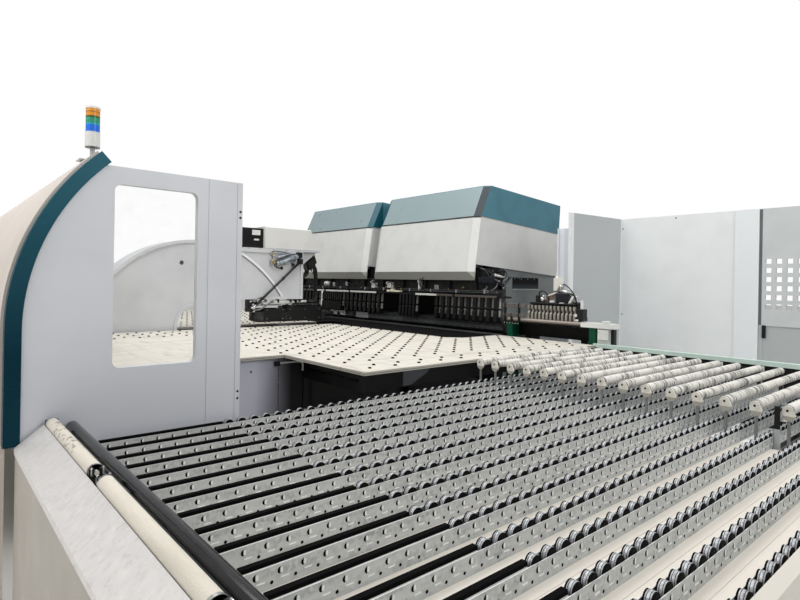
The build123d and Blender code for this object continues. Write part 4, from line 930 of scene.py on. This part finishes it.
def nose_hoses():
    """Black terminal case hanging along the slanting edge of the nose gusset, with a bunch of hoses
    that leads down in front of the nose and loops back into its face."""
    case = slanted(
        [(-0.055, -1.262, 1.982), (0.06, -1.24, 1.96)],
        [((0.11, 0, 0), (0, 0.148, 0.115), (0, 0.052, -0.135)),
         ((0.03, 0, 0), (0, 0.09, 0.07), (0, 0.045, -0.11))])
    piece("nose_case", case, black_plastic, "manipulator")
    hoses = []
    for dx, dy, low, radius in (
            (0.04, 0.0, 1.382, 0.013), (0.0, 0.006, 1.386, 0.014), (-0.04, 0.002, 1.384, 0.012)):
        loop = [(dx, -1.105 + dy, 1.93), (dx, -1.062 + dy, 1.86), (dx * 0.8, -1.045 + dy, 1.7),
                (dx * 0.7, -1.048 + dy, 1.52), (dx, -1.062, low + 0.05), (dx * 1.2, -1.115, low),
                (dx * 1.4, -1.23, low + 0.012), (dx * 1.5, -1.33, low + 0.045),
                (dx * 1.5, -1.386, low + 0.09)]
        hoses.append((radius, *loop))
    for dx in (0.05, 0.01, -0.035):
        hoses.append(
            (0.012, (dx, -1.2, 1.86), (dx, -1.215, 1.8), (dx, -1.27, 1.745), (dx, -1.386, 1.7)))
    hose_piece("nose_hoses", hose_rubber, "manipulator", *hoses)
    places = ((0.06, 1.472), (0.0, 1.476), (-0.06, 1.474), (0.05, 1.701), (0.01, 1.701),
              (-0.035, 1.701))
    sockets = [(x, -1.383, z, x, -1.402, z, 0.018) for x, z in places]
    bar_piece(
        "nose_sockets", bright_steel, "manipulator", *sockets,
        (0.052, -1.15, 1.868, 0.052, -1.145, 1.79, 0.016),
        (0.02, -1.118, 1.872, 0.02, -1.112, 1.806, 0.013))


def motor_boxes():
    """Light terminal lids on the motor's flank and bolts along the top flange."""
    block_piece(
        "motor_terminal_lids", grey_plastic, "manipulator", 0.004,
        (0.109, -2.139, 2.3, 0.14, -2.022, 2.368), (0.109, -2.109, 2.228, 0.134, -2.037, 2.252))
    y = np.array([-2.22, -2.06, -1.86, -1.66, -1.46, -1.26])
    spots = np.stack([np.full(6, 0.2002), y, np.full(6, 2.115)], 1)
    piece("flange_bolts", discs(spots, 0.008, 0.005, OUT_RIGHT, 8), bright_steel, "manipulator")


def gripper_covers():
    """Side covers of the long gripper with their screws, and the lids on its top."""
    block_piece(
        "gripper_side_covers", black_paint, "upper_gripper", 0.0015,
        (0.1302, -1.95, 1.14, 0.1342, -1.605, 1.3), (0.1302, -1.59, 1.14, 0.1342, -1.005, 1.325),
        (-0.1342, -1.95, 1.14, -0.1302, -1.605, 1.3),
        (-0.1342, -1.59, 1.14, -0.1302, -1.005, 1.325))
    heads = [np.array([[x, y, z] for y in (-1.9, -1.66, -1.54, -1.3, -1.06) for z in (1.16, 1.285)])
             for x in (0.1342, -0.1342)]
    piece(
        "gripper_cover_screws",
        joined(
            discs(heads[0], 0.007, 0.004, OUT_RIGHT, 8),
            discs(heads[1], 0.007, 0.004, OUT_LEFT, 8)), bright_steel, "upper_gripper")
    block_piece(
        "gripper_top_lids", black_plastic, "upper_gripper", 0.002,
        (-0.105, -1.345, 1.3442, 0.105, -1.01, 1.3502),
        (-0.105, -2.05, 1.3442, 0.105, -1.612, 1.3502))


# Press: light strips, valves and pipes on the blankholder beam

def light_strips():
    """Lamp strips along the tool rail, each a light cover between dark end caps."""
    spans = ((-2.64, -1.88), (-1.865, -1.262), (-1.24, -0.52), (-0.505, 0.226), (1.114, 1.88),
             (1.895, 2.64))
    low = [(a + 0.012, -0.0555, 1.515) for a, b in spans]
    high = [(b - 0.012, -0.0306, 1.5435) for a, b in spans]
    piece("light_strip_covers", cases(low, high, 0.004), strip_plastic, "blankholder")
    ends = [(x, -0.0575, 1.5135) for a, b in spans for x in (a, b - 0.012)]
    piece(
        "light_strip_caps", cases(ends, np.array(ends) + (0.012, 0.0269, 0.032), 0.002),
        black_plastic, "blankholder")


TOOL_GROUPS = ((-2.6, -1.54, 0.118, 0.028), (-1.34, -0.79, 0.061, 0.018),
               (-0.58, 0.25, 0.118, 0.028), (0.77, 1.07, 0.076, 0.022), (1.54, 2.6, 0.118, 0.028))


def tool_sides():
    """Ground side plates of the blankholder tools in two tiers. A group of tools is given by the
    first and last tool's place, the pitch and half a tool's width. The plates lean with the beam
    about its hinge h: y' = hy + (y - hy) cos t - (z - hz) sin t, z' = hz + (y - hy) sin t + (z -
    hz) cos t."""
    rows = []
    for first, last, pitch, half in TOOL_GROUPS:
        steps = round((last - first) / pitch)
        rows.append((first + np.arange(steps + 1) * (last - first) / steps, half))
    x = np.concatenate([r + side * (half + 0.0004) for r, half in rows for side in (-1, 1)])
    lows = [(x - 0.0004, 0.004, 1.262), (x - 0.0004, 0.004, 1.152)]
    highs = [(x + 0.0004, 0.042, 1.392), (x + 0.0004, 0.042, 1.236)]
    low = np.concatenate([np.column_stack(np.broadcast_arrays(*v)) for v in lows])
    high = np.concatenate([np.column_stack(np.broadcast_arrays(*v)) for v in highs])
    points, faces = boxes(low, high)
    y, z = points[:, 1] - HINGE_Y, points[:, 2] - HINGE_Z
    points[:, 1] = HINGE_Y + y * math.cos(REST_TILT) - z * math.sin(REST_TILT)
    points[:, 2] = HINGE_Z + y * math.sin(REST_TILT) + z * math.cos(REST_TILT)
    piece("tool_side_plates", (points, faces), side_steel, "blankholder")


def beam_valves():
    """Valve blocks, round regulators and sensor cases on the beam's front, with brass unions."""
    block_piece(
        "valve_blocks", grey_plastic, "blankholder", 0.004, (0.386, 0.02, 1.608, 0.47, 0.095, 1.69),
        (0.402, 0.0, 1.652, 0.452, 0.06, 1.7), (-0.02, 0.028, 1.6, 0.06, 0.098, 1.68),
        (1.092, 0.03, 1.59, 1.112, 0.1, 1.76), (1.08, 0.022, 1.7, 1.126, 0.06, 1.73))
    block_piece(
        "valve_bodies", bright_steel, "blankholder", 0.004, (0.0, 0.012, 1.64, 0.044, 0.06, 1.725),
        (0.47, 0.034, 1.585, 0.52, 0.098, 1.65), (-0.76, 0.04, 1.62, -0.7, 0.098, 1.69),
        (-1.14, 0.03, 1.6, -1.07, 0.098, 1.68), (1.42, 0.04, 1.6, 1.5, 0.1, 1.67))
    bar_piece(
        "regulator_knobs", grey_plastic, "blankholder",
        (-1.3, 0.098, 1.65, -1.3, -0.01, 1.65, 0.042),
        (-1.3, -0.01, 1.65, -1.3, -0.028, 1.65, 0.03),
        (0.43, 0.0, 1.676, 0.43, -0.024, 1.676, 0.016),
        (0.022, 0.012, 1.69, 0.022, -0.014, 1.69, 0.014))
    block_piece(
        "centre_sensor_cases", cream_plastic, "blankholder", 0.003,
        (0.44, -0.03, 1.5485, 0.512, 0.045, 1.575), (0.59, -0.03, 1.5485, 0.735, 0.048, 1.572),
        (0.52, -0.022, 1.5485, 0.58, 0.03, 1.592))
    spots = [(x, 0.0305, z)
             for x, z in ((0.3, 1.585), (0.34, 1.62), (0.62, 1.63), (0.7, 1.6), (1.205, 1.64),
                          (1.26, 1.592), (-0.3, 1.6), (-0.56, 1.64), (1.7, 1.61), (1.98, 1.64))]
    piece("beam_unions", discs(spots, 0.011, 0.07, (0, 1, 0), 8), brass, "blankholder")


def beam_pipes():
    """Pipes along the beam in front of the ribs, held by clips, and hoses that hang between
    them."""
    pipes = [rod((start, y, z), (end, y, z), radius, 8)
             for start, end, y, z, radius in ((-2.6, 2.6, 0.03, 1.578, 0.009),
                                              (-2.6, 2.6, 0.044, 1.6, 0.007),
                                              (-1.05, 1.1, 0.04, 1.742, 0.008))]
    piece("beam_pipes", joined(*pipes), dark_steel, "blankholder", smooth=True)
    x = np.array([-2.4, -1.9, -1.45, -0.9, -0.2, 0.28, 0.9, 1.35, 1.85, 2.35])
    low = np.stack([x, np.full(10, 0.02), np.full(10, 1.564)], 1)
    piece("pipe_clips", cases(low, low + (0.022, 0.085, 0.046), 0.003), bright_steel, "blankholder")
    hose_piece(
        "beam_hoses", hose_rubber, "blankholder",
        (0.007, (0.022, -0.01, 1.69), (0.08, -0.03, 1.7), (0.18, -0.02, 1.64), (0.25, 0.02, 1.585)),
        (0.007, (0.43, -0.02, 1.676), (0.52, -0.04, 1.69), (0.64, -0.02, 1.64), (0.62, 0.03, 1.63)),
        (0.006, (1.26, 0.03, 1.592), (1.24, -0.03, 1.6), (1.215, -0.035, 1.7), (1.26, 0.0, 1.79),
         (1.32, 0.09, 1.84)),
        (0.006, (1.205, 0.03, 1.64), (1.19, -0.02, 1.65), (1.17, -0.02, 1.73), (1.22, 0.03, 1.8),
         (1.29, 0.092, 1.83)),
        (0.007, (-1.3, -0.02, 1.65), (-1.24, -0.045, 1.64), (-1.18, -0.02, 1.6),
         (-1.14, 0.03, 1.61)),
        (0.006, (-0.7, 0.04, 1.65), (-0.64, -0.01, 1.65), (-0.59, -0.01, 1.645),
         (-0.56, 0.03, 1.64)),
        (0.006, (1.5, 0.05, 1.64), (1.58, 0.0, 1.64), (1.66, 0.0, 1.62), (1.7, 0.03, 1.61)))


def beam_end():
    """Connection side of the beam: cases, a white tube, hoses in loops, thin wires and unions."""
    block_piece(
        "beam_end_cases", blue_grey_plastic, "blankholder", 0.006,
        (2.25, 0.03, 1.708, 2.33, 0.25, 1.785), (2.25, 0.12, 1.56, 2.29, 0.2, 1.6),
        (2.25, 0.47, 1.62, 2.295, 0.52, 1.7))
    bar_piece(
        "beam_end_tube", grey_plastic, "blankholder", (2.3, 0.318, 1.812, 2.3, 0.5, 1.79, 0.016),
        (2.3, 0.3, 1.814, 2.3, 0.322, 1.812, 0.022), (2.25, 0.34, 1.806, 2.3, 0.34, 1.808, 0.01),
        (2.25, 0.48, 1.792, 2.3, 0.48, 1.793, 0.01))
    hose_piece(
        "beam_end_hoses", hose_rubber, "blankholder",
        (0.012, (2.25, 0.42, 1.86), (2.3, 0.48, 1.885), (2.32, 0.5, 1.86), (2.31, 0.44, 1.83),
         (2.262, 0.4, 1.83)),
        (0.006, (2.3, 0.3, 1.814), (2.31, 0.25, 1.85), (2.3, 0.16, 1.88), (2.252, 0.09, 1.88)),
        (0.008, (2.29, 0.2, 1.58), (2.32, 0.3, 1.56), (2.3, 0.44, 1.59), (2.29, 0.5, 1.65)),
        (0.008, (2.28, 0.25, 1.74), (2.33, 0.29, 1.735), (2.32, 0.4, 1.69), (2.29, 0.48, 1.66)))
    hose_piece(
        "beam_end_grey_hoses", hose_grey, "blankholder",
        (0.017, (2.252, 0.47, 1.875), (2.3, 0.52, 1.88), (2.32, 0.548, 1.84), (2.318, 0.545, 1.78),
         (2.3, 0.5, 1.74), (2.29, 0.49, 1.7)),
        (0.01, (2.262, 0.35, 1.765), (2.3, 0.36, 1.735), (2.305, 0.35, 1.68), (2.295, 0.31, 1.635),
         (2.262, 0.27, 1.6)),
        (0.01, (2.255, 0.18, 1.668), (2.29, 0.16, 1.655), (2.288, 0.13, 1.625),
         (2.255, 0.105, 1.605)))
    hose_piece(
        "beam_end_wires", hose_grey, "blankholder",
        (0.004, (2.252, 0.06, 1.905), (2.3, 0.09, 1.88), (2.305, 0.15, 1.835), (2.29, 0.2, 1.79),
         (2.28, 0.21, 1.78)),
        (0.004, (2.252, 0.11, 1.9), (2.295, 0.2, 1.86), (2.3, 0.28, 1.81), (2.27, 0.33, 1.78),
         (2.255, 0.335, 1.76)),
        (0.004, (2.252, 0.32, 1.88), (2.29, 0.28, 1.85), (2.29, 0.265, 1.81), (2.27, 0.24, 1.783)),
        count=6)
    bar_piece(
        "beam_end_unions", bright_steel, "blankholder",
        (2.25, 0.44, 1.732, 2.275, 0.44, 1.732, 0.016),
        (2.25, 0.388, 1.545, 2.28, 0.388, 1.6, 0.008), (2.295, 0.5, 1.7, 2.295, 0.5, 1.73, 0.012),
        (2.295, 0.49, 1.64, 2.31, 0.49, 1.64, 0.014))


def frame_screen():
    """Plate between the side frame and the cover, with a folded lower edge; the frame's window, a
    flat block painted dark as painted shade of its inside, with its light sill, over the lower
    opening that a flush plate closes."""
    block_piece(
        "frame_screen", grey_frame, "machine", 0.001, (2.184, 0.66, 1.795, 2.19, 1.9, 1.925),
        (2.184, 0.66, 1.795, 2.205, 1.9, 1.803))
    block_piece(
        "frame_flush_plate", grey_frame, "machine", 0.0004,
        (2.215, 0.792, 1.432, 2.2206, 1.438, 1.648))
    block_piece(
        # Painted shade: the window's dark inside, on a flat block.
        "frame_window", window_shade_paint, "machine", 0.001, (2.2195, 0.79, 1.63, 2.2235, 1.405, 1.792))
    block_piece(
        "frame_window_sill", panel_grey, "machine", 0.001,
        (2.2195, 0.79, 1.612, 2.229, 1.405, 1.632), (2.2195, 0.93, 1.779, 2.226, 0.95, 1.785))
    piece(
        "frame_window_screws",
        discs([(2.2235, y, 1.772) for y in (0.84, 0.99, 1.14, 1.3)], 0.006, 0.003, OUT_RIGHT, 8),
        bright_steel)


CABLE_FACE = 0.0668


def carrier_panels():
    """Light cover plates on the blades below the mouth: a keyhole drawn by two dark discs on the
    first as painted shade of its opening, a plain grey one, and loose cables between them."""
    block_piece(
        "carrier_plates", grey_plastic, "blade_carrier", 0.001,
        (-1.13, 0.064, 1.11, -0.79, 0.0676, 1.238), (-1.24, 0.064, 1.11, -1.145, 0.0676, 1.225))
    block_piece(
        "carrier_grey_plate", panel_grey, "blade_carrier", 0.0015,
        (-0.47, 0.062, 1.1, -0.135, 0.0676, 1.232))
    # Dark discs: painted shade in the keyhole openings.
    piece(
        "carrier_keyhole_shade",
        joined(
            discs([(-0.985, 0.0641, 1.12), (-1.195, 0.0641, 1.115)], 0.052, 0.0012, OUT_FRONT, 20),
            discs([(-0.985, 0.0641, 1.196), (-0.83, 0.0641, 1.15)], 0.013, 0.0012, OUT_FRONT, 12)),
        black_plastic, "blade_carrier")
    cables = [(0.0042,
               *[(x, CABLE_FACE, top - fall * k)
                 for x, top, fall in ((-0.79, 1.19, 0.016), (-0.7, 1.15, 0.012),
                                      (-0.6, 1.12, 0.006), (-0.52, 1.16, 0.01),
                                      (-0.47, 1.185, 0.014))]) for k in range(4)]
    hose_piece("carrier_cables", hose_rubber, "blade_carrier", *cables, count=6)
    brown = [(x, CABLE_FACE, z)
             for x, z in ((-0.77, 1.112), (-0.68, 1.128), (-0.56, 1.112), (-0.475, 1.135))]
    hose_piece("carrier_brown_cable", cable_brown, "blade_carrier", (0.0045, *brown), count=6)


# Tool changer: slide bars, deck, motor, cable bundle

def changer_bars():
    """Two slide bars from the press to the carriage on three uprights."""
    block_piece(
        "changer_slide_bars", bar_steel, "machine", 0.003,
        (2.72, -0.045, 1.412, 3.05, -0.0215, 1.462), (2.72, -0.045, 1.302, 3.05, -0.0215, 1.345))
    block_piece(
        "changer_uprights", black_paint, "machine", 0.003,
        (2.745, -0.0485, 1.24, 2.768, -0.0195, 1.466), (2.95, -0.0485, 1.24, 2.973, -0.0195, 1.466),
        (2.84, -0.046, 1.24, 2.86, -0.0205, 1.345))


def carriage_drive():
    """Deck, motor with its cylinder, small plates, bundle of cables, hoses and end case on the
    carriage."""
    block_piece(
        "carriage_deck", black_paint, "tool_carriage", 0.004, (3.085, 0.0, 1.4702, 3.7, 0.15, 1.49),
        (3.15, 0.03, 1.489, 3.212, 0.1, 1.572), (3.565, 0.075, 1.47, 3.7, 0.13, 1.505))
    block_piece(
        "carriage_motor", blue_grey_plastic, "tool_carriage", 0.008,
        (3.42, 0.03, 1.4895, 3.58, 0.15, 1.605))
    bar_piece(
        "carriage_cylinder", bright_steel, "tool_carriage",
        (3.42, 0.09, 1.635, 3.6, 0.09, 1.6, 0.03), (3.445, 0.095, 1.64, 3.47, 0.095, 1.7, 0.03),
        (3.47, 0.09, 1.7, 3.476, 0.09, 1.716, 0.022),
        (3.236, 0.06, 1.49, 3.236, 0.06, 1.553, 0.034),
        (3.25, 0.045, 1.553, 3.262, 0.045, 1.572, 0.02))
    plates = slanted(
        [(3.59, 0.03, 1.493), (3.33, 0.02, 1.565), (3.36, 0.01, 1.492), (3.5, -0.012, 1.488)],
        [((0.05, 0, 0.085), (0.022, 0, -0.012), (0, 0.09, 0)),
         ((0.1, 0, 0.035), (0.003, 0, 0.014), (0, 0.08, 0)),
         ((0.055, 0, 0.004), (0, 0, 0.022), (0, 0.05, 0)),
         ((0.05, 0, 0.0), (0, 0, 0.008), (0, 0.03, 0))])
    piece("carriage_plates", plates, grey_plastic, "tool_carriage")
    bundle = [(0.0065, (3.292 + 0.012 * k, 0.055, 1.489),
               (3.3 + 0.012 * k, 0.03 + 0.006 * k, 1.545 + 0.006 * k),
               (3.352, 0.03 + 0.008 * k, 1.585 - 0.009 * k),
               (3.4, 0.05 + 0.006 * k, 1.59 - 0.013 * k),
               (3.424, 0.06 + 0.005 * k, 1.57 - 0.012 * k)) for k in range(5)]
    hose_piece("cable_bundle", cable_brown, "tool_carriage", *bundle, count=8)
    hose_piece(
        "carriage_hoses", hose_rubber, "tool_carriage",
        (0.008, (3.18, 0.06, 1.572), (3.205, 0.04, 1.612), (3.262, 0.03, 1.622),
         (3.318, 0.035, 1.575), (3.33, 0.04, 1.5)),
        (0.006, (3.472, 0.09, 1.705), (3.52, 0.08, 1.7), (3.6, 0.07, 1.64), (3.665, 0.06, 1.56),
         (3.68, 0.06, 1.49)),
        (0.008, (3.59, 0.05, 1.6), (3.64, 0.04, 1.59), (3.67, 0.045, 1.55), (3.69, 0.05, 1.49)))
    block_piece(
        "carriage_end_case", black_plastic, "tool_carriage", 0.005,
        (3.7, 0.004, 1.31, 3.79, 0.1, 1.432), (3.704, 0.02, 1.43, 3.74, 0.08, 1.5))
    block_piece(
        "carriage_end_rail", grey_plastic, "tool_carriage", 0.002,
        (3.744, 0.03, 1.432, 3.772, 0.055, 1.53), (3.7, -0.006, 1.345, 3.722, 0.004, 1.375),
        (3.7, -0.004, 1.296, 3.74, 0.004, 1.318))


def changer_bits():
    """Locking pins along the changer's front, a black cable case beside the end post, and light
    blocks at the rail's end."""
    x = np.array([2.74, 2.78, 2.82, 2.86, 2.9, 2.94])
    piece(
        "changer_pins",
        discs(np.stack([x, np.full(6, -0.02), np.full(6, 1.222)], 1), 0.009, 0.01, OUT_FRONT, 8),
        bright_steel)
    block_piece(
        "post_cable_case", black_plastic, "machine", 0.005, (4.113, 0.02, 0.86, 4.15, 0.08, 1.232))
    block_piece(
        "rail_end_blocks", grey_plastic, "machine", 0.003, (4.03, -0.01, 1.2902, 4.09, 0.06, 1.32),
        (3.985, -0.022, 1.12, 4.11, -0.019, 1.225))


# Screws, door strip, skirt bracket and the lifting bed's small parts

def sheet_screws():
    """Round heads on the end walls, fence and skirt, at the places where the sheets are held."""
    wall = [(4.13, -4.163, z) for z in (2.078, 2.045, 1.07, 1.031)]
    far = [(-4.13, -4.163, z) for z in (2.078, 2.045, 1.07, 1.031)]
    fence = [(3.443, 1.548, 2.457), (3.45, 1.548, 1.326), (4.126, 1.548, 2.552),
             (3.45, 1.548, 0.18), (4.126, 1.548, 0.18)]
    piece(
        "wall_screws",
        joined(
            discs(wall, 0.007, 0.003, OUT_RIGHT, 10), discs(far, 0.007, 0.003, OUT_LEFT, 10),
            discs(fence, 0.009, 0.004, OUT_FRONT, 10),
            discs([(2.85, -3.455, 0.94)], 0.009, 0.004, OUT_RIGHT, 10)), black_plastic)


def edge_channel():
    """Folded channel along the short post of the fence, open towards the press."""
    block_piece(
        "fence_edge_channel", grey_wall, "machine", 0.002, (3.148, 0.506, 0.02, 3.242, 0.526, 2.4),
        (3.148, 0.47, 1.8, 3.158, 0.507, 2.4))


def shade_sheet_under_table():
    """Black sheet under the table's right edge, hung on the beam: painted shade for the dark
    empty space under the table.
    """
    block_piece(
        "table_painted_shade_sheet", black_paint, "machine", 0.001,
        (2.758, -2.9, 0.12, 2.7645, -0.42, 1.0))


def felt_block_pins():
    """Bright pins in pairs on the black blocks between the felt rollers."""
    low = [(x, y, 1.03) for x in (4.9975, 5.0805, 6.0175, 6.1205) for y in (-5.084, -5.048)]
    piece("felt_block_pins", cases(low, np.array(low) + (0.012, 0.007, 0.028), 0.002), bright_steel)


def door_strip():
    """Dark seal along the latch edge of the door, and the black latch under it."""
    block_piece(
        "door_seal", strip_grey, "guard_door", 0.0006, (5.0382, 1.5462, 1.29, 5.064, 1.5482, 2.58))
    block_piece(
        "door_latch", black_plastic, "guard_door", 0.003, (5.072, 1.536, 1.15, 5.11, 1.5482, 1.29))


def skirt_bracket():
    """Light rod along the skirt with a turned-down end, held by black clamps."""
    hose_piece(
        "skirt_rod", grey_plastic, "machine",
        (0.008, (2.86, -3.21, 0.992), (2.86, -3.09, 0.994), (2.86, -2.995, 0.99),
         (2.86, -2.974, 0.965), (2.859, -2.974, 0.91)))
    block_piece(
        "skirt_clamp", black_plastic, "machine", 0.003, (2.85, -3.25, 0.972, 2.876, -3.2, 1.012),
        (2.85, -3.01, 0.976, 2.858, -2.985, 1.004))


ROLLER_X = FIRST_ROLLER + RAIL_PITCH * np.arange(16)


def bed_roller_ends():
    """Dark axle ends on the brackets' caps, light lugs beside every second rear bracket, plates on
    the bar."""
    axle = np.stack([ROLLER_X, np.full(16, -2.053), np.full(16, 1.055)], 1)
    piece("roller_axle_ends", discs(axle, 0.0068, 0.002, OUT_FRONT, 12), black_steel, "roller_lift")
    low = np.stack([ROLLER_X[::2] + 0.013, np.full(8, -0.408), np.full(8, 1.02)], 1)
    piece("rear_lugs", cases(low, low + (0.024, 0.014, 0.052), 0.002), grey_plastic, "roller_lift")
    block_piece(
        "bar_plate_dark", black_plastic, "roller_lift", 0.002,
        (6.163, -2.072, 0.95, 6.19, -2.064, 1.074))
    block_piece(
        "bar_plate_light", panel_grey, "roller_lift", 0.002,
        (6.161, -2.073, 0.745, 6.192, -2.064, 0.952))


manipulator_cylinders()
manipulator_valves()
nose_hoses()
motor_boxes()
gripper_covers()
light_strips()
tool_sides()
beam_valves()
beam_pipes()
beam_end()
frame_screen()
carrier_panels()
changer_bars()
carriage_drive()
changer_bits()
sheet_screws()
edge_channel()
shade_sheet_under_table()
felt_block_pins()
door_strip()
skirt_bracket()
bed_roller_ends()


# Lights, floor and white background

SKY_LOW, SKY_HIGH = 0.3, 0.6
FLOOR_HALF, FLOOR_LEVEL = 60.0, -0.002


def studio():
    """Pale floor, a world that is brighter above, and three soft lamps overhead."""
    scene = bpy.context.scene
    scene.view_settings.view_transform = "Standard"
    world = bpy.data.worlds.new("studio_world")
    scene.world = world
    world.use_nodes = True
    tree = world.node_tree
    tree.nodes.clear()
    path = add(tree, "ShaderNodeLightPath")
    seen = add(
        tree, "ShaderNodeMath",
        {0: path.outputs["Is Camera Ray"], 1: path.outputs["Is Transmission Ray"]},
        operation="MAXIMUM").outputs["Value"]
    way = add(tree, "ShaderNodeTexCoord").outputs["Generated"]
    up = add(tree, "ShaderNodeSeparateXYZ", {"Vector": way}).outputs["Z"]
    level = add(
        tree, "ShaderNodeMapRange",
        {"Value": up, "From Min": -0.2, "From Max": 0.8, "To Min": SKY_LOW,
         "To Max": SKY_HIGH}).outputs["Result"]
    ambient = add(tree, "ShaderNodeBackground", {"Color": (1, 1, 1, 1), "Strength": level})
    white = add(tree, "ShaderNodeBackground", {"Color": (1, 1, 1, 1), "Strength": 1.0})
    mix = add(tree, "ShaderNodeMixShader", {0: seen, 1: ambient.outputs[0], 2: white.outputs[0]})
    add(tree, "ShaderNodeOutputWorld", {"Surface": mix.outputs[0]})
    for name, place, turn, size, power in (
            ("lamp_front", (3.0, -9.0, 6.5), (math.radians(48), 0, math.radians(10)), 5.0, 270.0),
            ("lamp_middle", (1.0, -2.0, 7.5), (0, 0, 0), 7.0, 335.0),
            ("lamp_right", (10.5, -1.0, 6.0), (math.radians(25), math.radians(48), 0), 5.0, 300.0)):
        data = bpy.data.lights.new(name, "AREA")
        data.shape = "SQUARE"
        data.size = size
        data.energy = power
        lamp = bpy.data.objects.new(name, data)
        lamp.location = place
        lamp.rotation_euler = turn
        scene.collection.objects.link(lamp)
    ground = bpy.data.meshes.new("floor")
    corners = [(x * FLOOR_HALF, y * FLOOR_HALF, FLOOR_LEVEL)
               for x, y in ((-1, -1), (1, -1), (1, 1), (-1, 1))]
    ground.from_pydata(corners, [], [(0, 1, 2, 3)])
    ground.materials.append(
        finish("pale_floor", {"Base Color": linear("#e6e5e2"), "Roughness": 0.7})[0])
    floor = bpy.data.objects.new("floor", ground)
    scene.collection.objects.link(floor)


studio()
